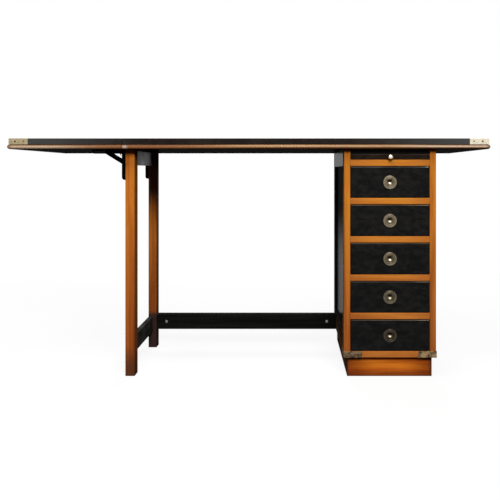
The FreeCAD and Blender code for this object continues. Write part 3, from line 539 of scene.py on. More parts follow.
@dataclass(frozen=True)
class NosingWood(StainedWood):
    """Wood of a half-round strip: a painted highlight along its nose, and dark elsewhere.

    The painted highlight is a pale band, warmer by the seam, with a small painted highlight spot just right
    of the seam, and weaker at the tips. It lies lower on the drop leaf and at the far right, and higher by
    the drawers. A mesh's "lift" attribute goes from -1 at the bottom of the half-round to 1 at its top. The
    spans whose names end in border are levels of it, and the others are places or distances along the desk.
    """

    pale: str = "#A88158"
    pale_end: str = "#CDB193"
    end_span: Span = (0.42, 0.62)
    rise_span: Span = (-0.36, 0.12)
    upper_rise: float = 0.45
    upper_border: Span = (0.0, 0.8)
    right_span: Span = (0.45, 0.6)
    right_share: float = 0.2
    lower_drop: float = 0.6
    lower_border: Span = (-0.6, 0.15)
    warm: str = "#8C5A37"
    warm_middle: float = -0.31
    warm_span: Span = (0.06, 0.4)
    patch_share: float = 0.5
    patch_end: float = 0.3
    tip_span: Span = (0.744, 0.758)
    tip_share: float = 0.3
    spot: str = "#D8CCC0"
    spot_middle: float = -0.391
    spot_span: Span = (0.002, 0.011)
    spot_share: float = 0.6
    gloss: float = 0.25
    gloss_under: float = 0.012
    gloss_border: Span = (-0.7, -0.2)

    def figured(self, s: Shader, run: Socket, colour: Socket) -> Socket:
        """Paints a highlight along the nose: a pale band with soft borders, whose height follows the place
        along the desk.

        Args:
            s: tree of the material.
            run: places turned to the grain.
            colour: colour of the wood away from the band.

        Returns:
            Colour of the whole strip.
        """
        lift, across = s.marked("lift"), s.at(X_AXIS)
        outward = s.away(across)
        raised = s.times(s.fade(across, *self.rise_span, 0.0, self.upper_rise),
                         s.fade(across, *self.right_span, 1.0, self.right_share))
        upper = s.fade(s.math("SUBTRACT", lift, raised), *self.upper_border, 1.0, 0.0)
        lowered = s.math("ADD", lift, s.fade(across, *self.rise_span, self.lower_drop, 0.0))
        lower = s.fade(lowered, *self.lower_border)
        patches = s.times(s.shown(run, NOSE_PATCHES, 0.0, self.patch_share),
                          s.fade(outward, *self.end_span, 1.0, self.patch_end))
        by_seam = s.fade(s.away(across, self.warm_middle), *self.warm_span, 1.0, 0.0)
        pale = s.mix(s.fade(outward, *self.end_span), self.pale, self.pale_end)
        nose = s.mix(s.math("MAXIMUM", by_seam, patches), pale, self.warm)
        # painted highlight spot just right of the seam
        by_spot = s.fade(s.away(across, self.spot_middle), *self.spot_span, self.spot_share, 0.0)
        nose = s.mix(by_spot, nose, self.spot)
        # the painted highlight weakens at the two tips, where the ends are in shade
        tip = s.fade(outward, *self.tip_span, 1.0, self.tip_share)
        return s.mix(s.times(upper, lower, tip), colour, nose)

    def varnish(self, s: Shader) -> Value:
        """Varnish on the nose and above it, and hardly any underneath."""
        return s.fade(s.marked("lift"), *self.gloss_border, self.gloss_under, self.gloss)


@dataclass(frozen=True)
class FrontBoardWood(StainedWood):
    """Wood of a board across the pedestal's front: golden in its middle and redder towards its ends.

    Its faces that look sideways can have painted shade, and a rim at its two ends a dark stain of its own.
    """

    middle: float = 0.4485
    half: float = 0.1355
    end: str = "#74331C"
    end_share: float = 0.7
    end_start: float = 0.45
    end_full: float = 1.25
    end_wave: float = 0.05
    side: str = "#4A3A2E"
    side_shade_share: float = 0.0
    rim: str = "#4E3628"
    rim_share: float = 0.0
    rim_width: float = 0.009

    def figured(self, s: Shader, run: Socket, colour: Socket) -> Socket:
        """Reddens the wood by its distance from the middle of the board, stains its rim, and paints shade on
        its sides.

        Args:
            s: tree of the material.
            run: places turned to the grain.
            colour: colour of the wood in the middle.

        Returns:
            Colour of the whole board, with a wavy border between gold and red.
        """
        across = s.away(s.at(X_AXIS), self.middle)
        wavy = s.math("ADD", across, s.times(s.noise(run, END_WAVES), self.end_wave))
        red = s.fade(wavy, self.half * self.end_start, self.half * self.end_full, 0.0, self.end_share)
        colour = s.mix(red, colour, self.end)
        rim = s.fade(across, self.half - self.rim_width, self.half, 0.0, self.rim_share)
        colour = s.mix(rim, colour, self.rim)
        # painted shade on the faces that look sideways
        return s.mix(s.sideways(self.side_shade_share), colour, self.side)


@dataclass(frozen=True)
class LegWood(StainedWood):
    """Wood of a leg: painted shade on its sides, and the top's shadow painted on its head."""

    side: str = "#40352D"
    side_shade_share: float = 0.0
    head: str = "#3A2E2C"
    head_shadow_share: float = 0.0
    head_span: Span = (0.5, 0.6)
    head_wave: float = 0.02

    def figured(self, s: Shader, run: Socket, colour: Socket) -> Socket:
        """Paints shade on the faces that look sideways, and the top's shadow on the head with a wavy border.

        Args:
            s: tree of the material.
            run: places turned to the grain.
            colour: colour of the wood at the front.

        Returns:
            Colour of the whole leg.
        """
        # painted shade on the faces that look sideways
        colour = s.mix(s.sideways(self.side_shade_share), colour, self.side)
        # painted shadow of the top across the head of the leg
        wavy = s.math("ADD", s.at(Z_AXIS), s.times(s.noise(run, HEAD_WAVES), self.head_wave))
        return s.mix(s.fade(wavy, *self.head_span, 0.0, self.head_shadow_share), colour, self.head)


@dataclass(frozen=True)
class Brass:
    """Brass with tarnish in clouds, fine rubbing marks and arrises rubbed bright.

    Right of right_span it may have a lighter tone. A mesh's darkening attribute holds dirt in its hollows and
    painted shade, and its "gleam" attribute is a painted highlight.
    """

    name: str
    clean: str
    tarnish: str
    bright: str
    grime: str = "#0C0805"
    gleam: str = "#C2B69A"
    right_tone: str = "#9F865F"
    right_share: float = 0.0
    right_span: Span = (0.4, 0.5)
    clouds: Pattern = TARNISH_CLOUDS
    tarnish_share: float = 0.6
    pit_share: float = 0.4
    pit_dull: float = 0.15
    bright_share: float = 0.6
    arris: float = 0.0009
    smooth: float = 0.26
    dull: float = 0.48
    mark_relief: float = 0.4
    relief: float = 0.00005
    metallic: float = 1.0
    specular: float = 0.5
    edge_tint: str = WHITE

    def material(self, grain: Grain) -> bpy.types.Material:
        """Makes the brass.

        Args:
            grain: the way that its rubbing marks run.

        Returns:
            The material.
        """
        s = Shader(f"{self.name}_{grain.value}")
        run = s.grain(grain)
        clouds = s.shown(run, self.clouds)
        pits = s.shown(run, BRASS_PITS)
        near, _, rounded = s.edges(self.arris)
        right = s.fade(s.at(X_AXIS), *self.right_span, 0.0, self.right_share)
        clean = s.mix(right, self.clean, self.right_tone)
        colour = s.mix(s.times(clouds, self.tarnish_share), clean, self.tarnish)
        colour = s.mix(s.times(pits, self.pit_share), colour, self.tarnish)
        colour = s.mix(s.times(near, self.bright_share), colour, self.bright)
        # dirt in the hollows, and painted shade in the notch and the upper dimple
        colour = s.mix(s.marked("grime"), colour, self.grime)
        # painted highlight on the dimple and the rim
        colour = s.mix(s.marked("gleam"), colour, self.gleam)
        dulled = s.fade(clouds, 0.0, 1.0, self.smooth, self.dull)
        roughness = s.math("ADD", dulled, s.times(pits, self.pit_dull))
        relief = s.math("SUBTRACT", s.times(s.noise(run, RUBBING_MARKS), self.mark_relief), pits)
        return s.surface(colour, roughness, s.bump(relief, self.relief, rounded), Metallic=self.metallic,
                         Specular_IOR_Level=self.specular, Specular_Tint=self.edge_tint)


@dataclass(frozen=True)
class Steel:
    """Steel, japanned black or zinc plated, with a fine grain and bare metal along the arrises."""

    name: str
    coat: str
    mottle: str
    bare: str
    metallic: float
    smooth: float
    dull: float
    specular: float = 0.2
    scratch_share: float = 0.25
    chip_share: float = 0.5
    arris: float = 0.0008
    relief: float = 0.00006

    def material(self, grain: Grain) -> bpy.types.Material:
        """Makes the steel.

        Args:
            grain: the way that its scratches run.

        Returns:
            The material.
        """
        s = Shader(f"{self.name}_{grain.value}")
        run = s.grain(grain)
        mottle = s.noise(run, STEEL_MOTTLE)
        near, _, rounded = s.edges(self.arris)
        colour = s.mix(s.fade(mottle, STEEL_MOTTLE.start, STEEL_MOTTLE.full), self.coat, self.mottle)
        colour = s.mix(s.times(s.shown(run, STEEL_SCRATCHES), self.scratch_share), colour, self.bare)
        colour = s.mix(s.times(near, s.shown(run, STEEL_CHIPS), self.chip_share), colour, self.bare)
        roughness = s.fade(mottle, *DULL_SPAN, self.smooth, self.dull)
        return s.surface(colour, roughness, s.bump(mottle, self.relief, rounded), Metallic=self.metallic,
                         Specular_IOR_Level=self.specular)


Finish = BlackLacquer | StainedWood | Brass | Steel

# painted highlights: the glint colours are light lines along the upper arrises, the first drawer's brightest
# at its right end
SATIN_LACQUER = BlackLacquer("satin_lacquer", clouds=FINE_CLOUDS, glint="#B09884", glint_share=0.9,
                             glint_even=0.5)
FIRST_FRONT_LACQUER = replace(SATIN_LACQUER, name="first_front_lacquer", glint="#FFF2E4", glint_share=1.0,
                              glint_even=0.2, glint_from=0.55)
SLIDE_LACQUER = replace(SATIN_LACQUER, name="slide_lacquer", body="#17100C", cloud="#281D16")
# painted sheen: the board's lacquer turns grey towards the two ends of the desk
BOARD_LACQUER = BlackLacquer("board_lacquer", body="#1C1614", cloud="#251F1B", glint="#8E8B86",
                             glint_share=0.4, painted_sheen="#464645", painted_sheen_share=0.9)
MATT_LACQUER = BlackLacquer("matt_lacquer", body="#0C0C0C", cloud="#151413", rub_share=0.3, glint_share=0.15,
                            smooth=0.5, dull=0.66)
FLAT_BLACK = BlackLacquer("flat_black", body="#0A0909", cloud="#110F0E", rub_share=0.2, glint_share=0.0,
                          smooth=0.7, dull=0.85, specular=0.0, gloss=0.012)
APRON_LACQUER = BlackLacquer("apron_lacquer", glint_share=0.1, smooth=0.3, specular=0.05)
STRETCHER_LACQUER = BlackLacquer("stretcher_lacquer", body="#111110", cloud="#1D1D1C", clouds=LONG_CLOUDS,
                                 glint_share=0.15, smooth=0.4, dull=0.55, specular=0.0)
# painted sheen: the side stretcher's black lacquer is lightened to dark grey in place of its reflection
SIDE_LACQUER = BlackLacquer("side_lacquer", body="#2B2A28", cloud="#424240", glint_share=0.15, smooth=0.4,
                            dull=0.55, specular=0.0)
PANEL_LACQUER = PanelLacquer("panel_lacquer", body="#0E0E0D", cloud="#171615", rub_share=0.3,
                             glint_share=0.15, smooth=0.5, dull=0.66, specular=0.0, gloss=0.22)
RAIL_LACQUER = RailLacquer("rail_lacquer", glint_share=0.1, smooth=0.4, dull=0.55, specular=0.0, gloss=0.33)
STILE_WOOD = StainedWood("stile_wood", ("#CA7F2A", "#AD611E", "#B6652D", "#924A1F"), wear_and_shade_share=0.55,
                         arris=0.0034)
RIGHT_STILE_WOOD = replace(STILE_WOOD, name="right_stile_wood",
                           tones=("#C87C2A", "#AA5E1F", "#AE612D", "#84451E"))
RAIL_WOOD = FrontBoardWood("rail_wood", ("#D0842F", "#B56825", "#CC7B36", "#A45C26"), wear_and_shade_share=0.45,
                           end="#A05628", end_share=0.5)
# painted shade on the leg's sides and along its rounded arrises, and a dark foot that is partly painted shade
LEG_WOOD = LegWood("leg_wood", ("#CA762A", "#A8591D", "#AC5926", "#843E18"), foot="#523321", foot_share=0.85,
                   wear_and_shade="#4A2814", wear_and_shade_share=0.95, arris=0.0065, side_shade_share=0.4)
# painted shadow of the top on the back leg's head, and a dark foot that is partly painted shade
BACK_LEG_WOOD = LegWood("back_leg_wood", ("#D07D30", "#AC5D20", "#A95628", "#803E18"), foot="#3A2A28",
                        foot_share=0.97, foot_full=0.108, wear_and_shade="#43261A", wear_and_shade_share=0.6, arris=0.0065,
                        head_shadow_share=0.7, side_shade_share=0.4)
# painted shade on the plinth's sides, and a darker lower edge that is partly painted shade
PLINTH_WOOD = FrontBoardWood("plinth_wood", ("#DD9034", "#BE6F24", "#EC8628", "#C25C1B"), foot="#6A2E14",
                             foot_share=0.68, foot_rise=0.036, pore="#5E2E10", wear_and_shade="#4A2A18", wear_and_shade_share=0.9,
                             arris=0.0075, middle=0.4465, half=0.133, end="#80300F", end_share=0.76,
                             side_shade_share=0.85, rim_share=0.7)
NOSING_WOOD = NosingWood("nosing_wood", ("#5E3C22", "#48290F") * 2, pore="#2E1A0E", wear_and_shade_share=0.0, arris=0.0,
                         dull=0.42)
PLAIN_WOOD = StainedWood("plain_wood", ("#C79F6B", "#AA7F4C", "#C29A66", "#A67B49"), foot="#8C653A",
                         pore="#7B5730", wear_and_shade="#D7B78A", smooth=0.5, dull=0.68, specular=0.1)
# lit and shaded copies of one brass: a painted reflection on the top's corners, painted shade on the leaf's
CORNER_BRASS = Brass("corner_brass", "#CFC7B4", "#A29986", "#E2DED0", tarnish_share=0.7)
LEAF_CORNER_BRASS = Brass("leaf_corner_brass", "#B4A684", "#7E7150", "#D4CAAA", tarnish_share=0.75)
DRAWER_NUMBERS = range(1, 6)
# darker down the drawers: a painted dark reflection on the lower pulls
PULL_TONES = (
    ("#706551", "#4C4437", "#9E9378"), ("#716653", "#4D4537", "#9A8F76"), ("#655B48", "#423A2E", "#948971"),
    ("#5B5242", "#3A332A", "#8A8069"), ("#3E372E", "#27221B", "#6E6554"))
PULL_BRASSES = tuple(Brass(f"pull_brass_{number}", *tones, smooth=0.3)
                     for number, tones in zip(DRAWER_NUMBERS, PULL_TONES))
# painted highlight on each pull's rim, less on the lower drawers
RIM_GLEAMS = (0.2, 0.18, 0.14, 0.1, 0.04)
SHOE_BRASS = Brass("shoe_brass", "#806B50", "#2E2119", "#93805F", right_share=1.0, clouds=SHOE_CLOUDS,
                   tarnish_share=0.95, smooth=0.32, dull=0.52, metallic=0.4, specular=0.0,
                   edge_tint="#2A2019")
KNOB_BRASS = Brass("knob_brass", "#E6DFCC", "#B9AB88", "#F6F1E2", tarnish_share=0.35, smooth=0.14, dull=0.26)
BLACK_STEEL = Steel("black_steel", "#060606", "#0C0C0C", "#2C2A28", metallic=0.0, smooth=0.5, dull=0.68,
                    specular=0.0)
ZINC_STEEL = Steel("zinc_steel", "#8E8E8A", "#77766F", "#C4C3BC", metallic=1.0, smooth=0.3, dull=0.46)


@dataclass(frozen=True)
class Coat:
    """A finish, and the way that its grain runs on one piece."""

    finish: Finish
    grain: Grain = Grain.ALONG_X


class Paintbox:
    """Materials made so far, one for each finish and grain."""

    def __init__(self) -> None:
        """Starts with no material."""
        self.made: dict[Coat, bpy.types.Material] = {}

    def material(self, coat: Coat) -> bpy.types.Material:
        """Finds a coat's material, and makes it the first time that it is asked for.

        Args:
            coat: the finish and its grain.

        Returns:
            The material.
        """
        if coat not in self.made:
            self.made[coat] = coat.finish.material(coat.grain)
        return self.made[coat]


PAINTS = Paintbox()


def quads(rows: int, columns: int) -> Array:
    """Numbers the corners of the cells of a grid whose last column joins its first.

    Args:
        rows: points from one edge of the grid to the other.
        columns: points round it.

    Returns:
        Four corner numbers for each cell, row by row.
    """
    first = np.arange(rows - 1)[:, None] * columns
    here = np.arange(columns)[None, :]
    following = (here + 1) % columns
    corners = [first + here, first + following, first + columns + following, first + columns + here]
    return np.stack(corners, axis=-1).reshape(-1, 4)


def circle(columns: int) -> Array:
    """Angles of that many even steps round a circle."""
    return np.linspace(0.0, 2 * math.pi, columns, endpoint=False)


def around_axis(radius: Array, height: Array | float, angle: Array) -> Array:
    """Points (r cos a, r sin a, h), for the radii r, the heights h and the angles a."""
    x, y = radius * np.cos(angle), radius * np.sin(angle)
    return np.stack([x, y, height + 0 * x], axis=-1)


def quarter_round(radius: float, height: float, ease: float, steps: int) -> Array:
    """Profile of an edge that is eased by a quarter circle, from its outer side up to its top.

    Args:
        radius: radius of the outer side.
        height: height of the top.
        ease: radius of the quarter circle.
        steps: points on it.

    Returns:
        Radius and height of each point.
    """
    turn = np.linspace(0.0, math.pi / 2, steps)
    return np.stack([radius - ease * (1 - np.cos(turn)), height - ease * (1 - np.sin(turn))], axis=-1)


def turned(profile: Array, columns: int) -> tuple[Array, Faces]:
    """Turns a profile about the third axis, as on a lathe.

    A point of the surface is (r cos a, r sin a, h), for the profile's radius r and height h and the angle a.
    The profile starts and ends on the axis, where the surface closes in a pole.

    Args:
        profile: radius and height of each point, from the lower pole outwards and up to the upper one.
        columns: points round the axis.

    Returns:
        Points and faces, with the outer side towards the viewer.
    """
    radius, height = profile[1:-1, :1], profile[1:-1, 1:]
    around = around_axis(radius, height, circle(columns))
    poles = np.array([[0.0, 0.0, profile[0, 1]], [0.0, 0.0, profile[-1, 1]]])
    rows = len(radius)
    points = np.concatenate([around.reshape(-1, 3), poles])
    here = np.arange(columns)
    following = (here + 1) % columns
    bottom = np.stack([following, here, np.full(columns, rows * columns)], axis=-1)
    top = np.stack([here, following, np.full(columns, rows * columns + 1)], axis=-1)
    top[:, :2] += (rows - 1) * columns
    return points, quads(rows, columns).tolist() + bottom.tolist() + top.tolist()


def joined(*parts: tuple[Array, Faces]) -> tuple[Array, Faces]:
    """Joins several surfaces.

    Args:
        parts: points and faces of each surface.

    Returns:
        One list of points and one list of faces.
    """
    starts = np.cumsum([0] + [len(points) for points, _ in parts])
    faces = [[int(corner + start) for corner in face]
             for start, (_, some) in zip(starts, parts) for face in some]
    return np.concatenate([points for points, _ in parts]), faces


@dataclass
class Piece:
    """A new surface that stands for a CAD node, smooth but for edges sharper than the crease, in degrees."""

    node: str
    body: str
    slot: str
    coat: Coat
    crease: float = 35.0

    def place(self, points: Array, faces: Faces, **attributes: Array) -> None:
        """Makes the object and sets it in the frame in place of the node.

        Args:
            points: places in the frame, in metres.
            faces: corner numbers of each face.
            attributes: a number for each point, by name; "uv" has two numbers, for the piece's UV map.
        """
        mesh = bpy.data.meshes.new(f"smooth_{self.node}")
        mesh.from_pydata(points.tolist(), [], faces)
        corners = np.empty(len(mesh.loops), np.int32)
        mesh.loops.foreach_get("vertex_index", corners)
        uv = attributes.pop("uv", points[:, [X_AXIS, Z_AXIS]])
        mesh.uv_layers.new(name="UVMap").data.foreach_set("uv", uv[corners].astype(np.float32).ravel())
        for name, values in attributes.items():
            layer = mesh.attributes.new(name, "FLOAT", "POINT")
            layer.data.foreach_set("value", values.astype(np.float32))
        mesh.shade_smooth()
        mesh.set_sharp_from_angle(angle=math.radians(self.crease))
        mesh.materials.append(PAINTS.material(self.coat))
        made = bpy.data.objects.new(f"smooth_{self.node}", mesh)
        bpy.context.scene.collection.objects.link(made)
        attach(made, self.body)
        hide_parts(self.node)
        LOG.info("%s: %d faces, stands for %s", made.name, len(faces), self.node)


@dataclass
class SubAssembly:
    """CAD nodes that keep their shapes, each with its coat."""

    title: str
    coats: dict[str, Coat]

    def build(self) -> None:
        """Dresses the nodes."""
        for node, coat in self.coats.items():
            material = PAINTS.material(coat)
            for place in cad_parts[node].material_slots:
                place.material = material
            LOG.info("%s: %s in %s", self.title, node, material.name)


@dataclass
class Nosing:
    """Three half-round strips under the edge of one part of the top, mitred at its two outer corners."""

    node: str
    body: str
    seam_at_right: bool
    width: float = 0.042
    turns: int = 32
    stations: int = 24
    grain_shift: Span = (0.37, 0.11)

    def section(self, height: float) -> tuple[Array, Array]:
        """Profile of a strip: along its underside, round the half-round edge and back along its top.

        The edge is (r - r cos a, r + r sin a) for an angle a from a quarter turn down to a quarter turn up.

        Args:
            height: height of the strip, twice the radius r.

        Returns:
            Distance in from the outer line, and height above the underside, of each point.
        """
        radius = height / 2
        angle = np.linspace(-math.pi / 2, math.pi / 2, self.turns)
        reach = np.concatenate([[self.width], radius - radius * np.cos(angle), [self.width]])
        rise = np.concatenate([[0.0], radius + radius * np.sin(angle), [height]])
        return reach, rise

    def strip(self, start: Array, end: Array, inward: Array, mitres: tuple[int, int],
              height: float) -> tuple[Array, Faces, Array]:
        """Carries the profile from start to end, cut square for a mitre of 0 and at 45 degrees for 1.

        A point is start + reach * (inward + mitre * along) + rise * up at one end, the same with -along at
        the other, and the straight line between them.

        Args:
            start: first end of the outer line.
            end: last end of the outer line.
            inward: direction in under the top.
            mitres: how far each end runs in along the strip for each unit of reach.
            height: height of the strip.

        Returns:
            Points, faces that look outwards, and each point's distance along the strip and round the profile.
        """
        reach, rise = (part[:, None] for part in self.section(height))
        along = (end - start) / np.linalg.norm(end - start)
        first = start + reach * (inward + mitres[0] * along) + rise * UP
        last = end + reach * (inward - mitres[1] * along) + rise * UP
        share = np.linspace(0.0, 1.0, self.stations)[:, None, None]
        points = first * (1 - share) + last * share
        columns = len(reach)
        steps = np.linalg.norm(np.diff(np.concatenate([reach, rise], axis=1), axis=0), axis=1)
        around = np.concatenate([[0.0], np.cumsum(steps)])
        run = (points - start) @ along
        uv = np.stack([run, around + 0 * run], axis=-1)
        ring = np.arange(columns)
        caps = [ring[::-1].tolist(), (ring + (self.stations - 1) * columns).tolist()]
        faces = quads(self.stations, columns).tolist() + caps
        if np.dot(np.cross(along, inward), UP) > 0:
            faces = [face[::-1] for face in faces]
        return points.reshape(-1, 3), faces, uv.reshape(-1, 2)

    def build(self) -> None:
        """Makes the front, end and back strips in place of the CAD nosing."""
        low, high = (np.array(corner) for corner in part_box(self.node))
        seam_x, tip_x = (high[0], low[0]) if self.seam_at_right else (low[0], high[0])
        height = high[2] - low[2]
        corners = [np.array([seam_x, low[1], low[2]]), np.array([tip_x, low[1], low[2]]),
                   np.array([tip_x, high[1], low[2]]), np.array([seam_x, high[1], low[2]])]
        inwards = [np.array([0.0, 1.0, 0.0]), np.array([np.sign(seam_x - tip_x), 0.0, 0.0]),
                   np.array([0.0, -1.0, 0.0])]
        mitres = [(0, 1), (1, 1), (1, 0)]
        strips = [self.strip(*ends, inward, mitre, height)
                  for *ends, inward, mitre in zip(corners, corners[1:], inwards, mitres)]
        points, faces = joined(*[(some, cells) for some, cells, _ in strips])
        uv = np.concatenate([one + i * np.array(self.grain_shift) for i, (_, _, one) in enumerate(strips)])
        lift = (points[:, 2] - low[2]) / height * 2 - 1
        piece = Piece(self.node, self.body, "honey_wood", Coat(NOSING_WOOD, Grain.ALONG_STRIP))
        piece.place(points, faces, uv=uv, lift=lift)


def on_face(points: Array, middle: Vector) -> Array:
    """Sets points made right, up and outwards on a face that looks along -Y, about a point of that face."""
    right, up, out = points.T
    return np.stack([middle.x + right, middle.y - out, middle.z + up], axis=-1)


def soft_box(x: Array, low: float, high: float, ease: float) -> Array:
    """1 between low and high, 0 outside, with a smooth step of width ease inside each end."""
    step = np.clip(np.minimum(x - low, high - x) / ease, 0.0, 1.0)
    return step * step * (3 - 2 * step)


def level(radii: Array, height: float) -> Array:
    """A flat stretch of a profile: those radii, all at one height."""
    return np.stack([radii, np.full_like(radii, height)], axis=-1)


@dataclass
class RingPull:
    """Flush pull of one drawer: a plate with a tray, a fingertip dimple and a hinge notch, and its ring.

    Middles and half sizes of the painted shade and of the painted highlight spot on the dimple are given
    right and up.
    """

    number: int
    radius: float = 0.0214
    proud: float = 0.002
    let_in: float = 0.0065
    rim_ease: float = 0.0012
    lip_ease: float = 0.0004
    tray_radius: float = 0.0174
    tray_draft: float = 0.00005
    tray_floor: float = -0.0018
    dimple_radius: float = 0.008
    dimple_depth: float = 0.0028
    notch_half: float = 0.01202
    notch_low: float = 0.010685
    notch_high: float = 0.0166
    notch_floor: float = -0.003015
    notch_ease: float = 0.0006
    shade_middle: Span = (-0.0004, 0.0042)
    shade_half: Span = (0.0058, 0.0036)
    spot_middle: Span = (-0.0012, -0.0027)
    spot_half: Span = (0.0056, 0.0025)
    tray_grime_and_shade: float = 0.45
    notch_shade: float = 0.5
    dimple_shade: float = 0.95
    most_grime_and_shade: float = 0.97
    ring_radius: float = 0.0141
    ring_half_width: float = 0.0025
    ring_half_thick: float = 0.0013
    ring_squareness: float = 3.2
    ring_out: float = 0.0005
    pivot_out: float = 0.0004
    pin_radius: float = 0.0009
    pin_reach: float = 0.01422
    pin_crown: float = 0.0003
    columns: int = 192
    ring_columns: int = 96
    section_steps: int = 32
    pin_columns: int = 24
    ease_steps: int = 7
    land_steps: int = 8
    floor_steps: int = 22
    dimple_steps: int = 16
    crown_steps: int = 6

    def middle(self) -> Vector:
        """Middle of the pull on the drawer's face."""
        low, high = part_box(f"drawer_{self.number}_pull_plate")
        return Vector(((low.x + high.x) / 2, low.y + self.proud, (low.z + high.z) / 2))

    def coat(self) -> Coat:
        """Brass of this drawer's pull, darker on the lower drawers: a painted dark reflection."""
        return Coat(PULL_BRASSES[self.number - 1])

    def plate_profile(self) -> Array:
        """Profile of the plate from the middle of its back, round the rim, to the middle of its dimple.

        The rim and the lip of the tray are quarter circles. The tray's wall leans out by tray_draft, so that
        its faces keep some area where the notch flattens them. The dimple is a shallow ball: its height above
        the deepest point is R - sqrt(R^2 - r^2), for the ball that is dimple_depth deep where it is
        dimple_radius wide.

        Returns:
            Radius and height of each point.
        """
        rim = quarter_round(self.radius, self.proud, self.rim_ease, self.ease_steps)
        turn = np.linspace(0.0, math.pi / 2, self.ease_steps)
        lip = self.lip_ease * np.stack([1 - np.sin(turn), np.cos(turn) - 1], axis=-1)
        wall_top = np.array([self.tray_radius, self.proud]) + lip
        back = level(np.array([0.0, self.radius]), -self.let_in)
        land = level(np.linspace(rim[-1, 0], wall_top[0, 0], self.land_steps)[1:-1], self.proud)
        foot = self.tray_radius - self.tray_draft
        floor = level(np.linspace(foot, self.dimple_radius, self.floor_steps), self.tray_floor)
        ball = (self.dimple_radius ** 2 + self.dimple_depth ** 2) / (2 * self.dimple_depth)
        radii = np.linspace(self.dimple_radius, 0.0, self.dimple_steps)[1:]
        rise = ball - np.sqrt(ball ** 2 - radii ** 2)
        dimple = np.stack([radii, self.tray_floor - self.dimple_depth + rise], axis=-1)
        return np.concatenate([back, rim, land, wall_top, floor, dimple])

    def plate(self) -> None:
        """Turns the plate, sinks the hinge notch into it and marks its hollows with dirt and painted shade,
        and its dimple with a painted highlight.

        The painted shade in the upper half of the dimple falls off as exp(-(x / a)^4 - (y / b)^4), and the
        painted highlight spot in its lower half as exp(-(x / a)^2 - (y / b)^2), for the distances x and y
        from the middle of each and its half sizes a and b. The rim round the tray has a small painted
        highlight, less on the lower drawers.
        """
        points, faces = turned(self.plate_profile(), self.columns)
        right, up, out = points.T
        reach = np.hypot(right, up)
        front = (out > -self.let_in) & (reach < self.radius - self.rim_ease)
        notch = soft_box(right, -self.notch_half, self.notch_half, self.notch_ease)
        notch = notch * soft_box(up, self.notch_low, self.notch_high, self.notch_ease) * front
        points[:, 2] = out + (np.minimum(out, self.notch_floor) - out) * notch
        flat = points[:, :2]
        # painted shade in the upper half of the dimple
        shade = np.exp(-np.sum(((flat - self.shade_middle) / self.shade_half) ** 4, axis=1))
        tray = np.clip((self.proud - points[:, 2]) / (self.proud - self.tray_floor), 0.0, 1.0)
        # dirt and painted shade in the tray, painted shade in the notch and the upper dimple
        grime = self.tray_grime_and_shade * tray + self.notch_shade * notch + self.dimple_shade * shade
        # painted highlight: a spot in the lower half of the dimple, and a little on the rim
        spot = np.exp(-np.sum(((flat - self.spot_middle) / self.spot_half) ** 2, axis=1))
        rim = RIM_GLEAMS[self.number - 1] * (reach > self.tray_radius)
        gleam = np.maximum(spot * (reach < self.dimple_radius), rim) * front
        piece = Piece(f"drawer_{self.number}_pull_plate", f"drawer_{self.number}", "aged_brass", self.coat())
        piece.place(on_face(points, self.middle()), faces, grime=np.minimum(grime, self.most_grime_and_shade) * front,
                    gleam=gleam)

    def ring(self) -> None:
        """Carries a rounded section round the ring's circle and adds its hinge pin.

        The section is a squared oval, |x / a|^p + |y / b|^p = 1, so x is a times the signed power 2 / p of
        cos t, and y is b times that of sin t.
        """
        cosine, sine = np.cos(circle(self.section_steps)), np.sin(circle(self.section_steps))
        power = 2 / self.ring_squareness
        reach = self.ring_radius + self.ring_half_width * np.sign(cosine) * np.abs(cosine) ** power
        thick = self.ring_half_thick * np.sign(sine) * np.abs(sine) ** power
        loop = around_axis(reach, self.ring_out + thick, circle(self.ring_columns)[:, None])
        cells = quads(self.ring_columns + 1, self.section_steps) % (self.ring_columns * self.section_steps)
        dome = np.linspace(0.0, math.pi / 2, self.crown_steps)
        near = np.stack([self.pin_radius * np.sin(dome), self.pin_crown * (1 - np.cos(dome))], axis=-1)
        far = np.stack([near[:, 0], 2 * self.pin_reach - near[:, 1]], axis=-1)[::-1]
        pin, pin_faces = turned(np.concatenate([near, far]), self.pin_columns)
        pin = np.stack([pin[:, 2] - self.pin_reach, self.ring_radius + pin[:, 0], self.pivot_out + pin[:, 1]],
                       axis=-1)
        points, faces = joined((loop.reshape(-1, 3), cells[:, ::-1].tolist()), (pin, pin_faces))
        piece = Piece(f"drawer_{self.number}_pull_ring", f"ring_{self.number}", "aged_brass", self.coat())
        piece.place(on_face(points, self.middle()), faces)

    def build(self) -> None:
        """Makes the plate and the ring."""
        self.plate()
        self.ring()


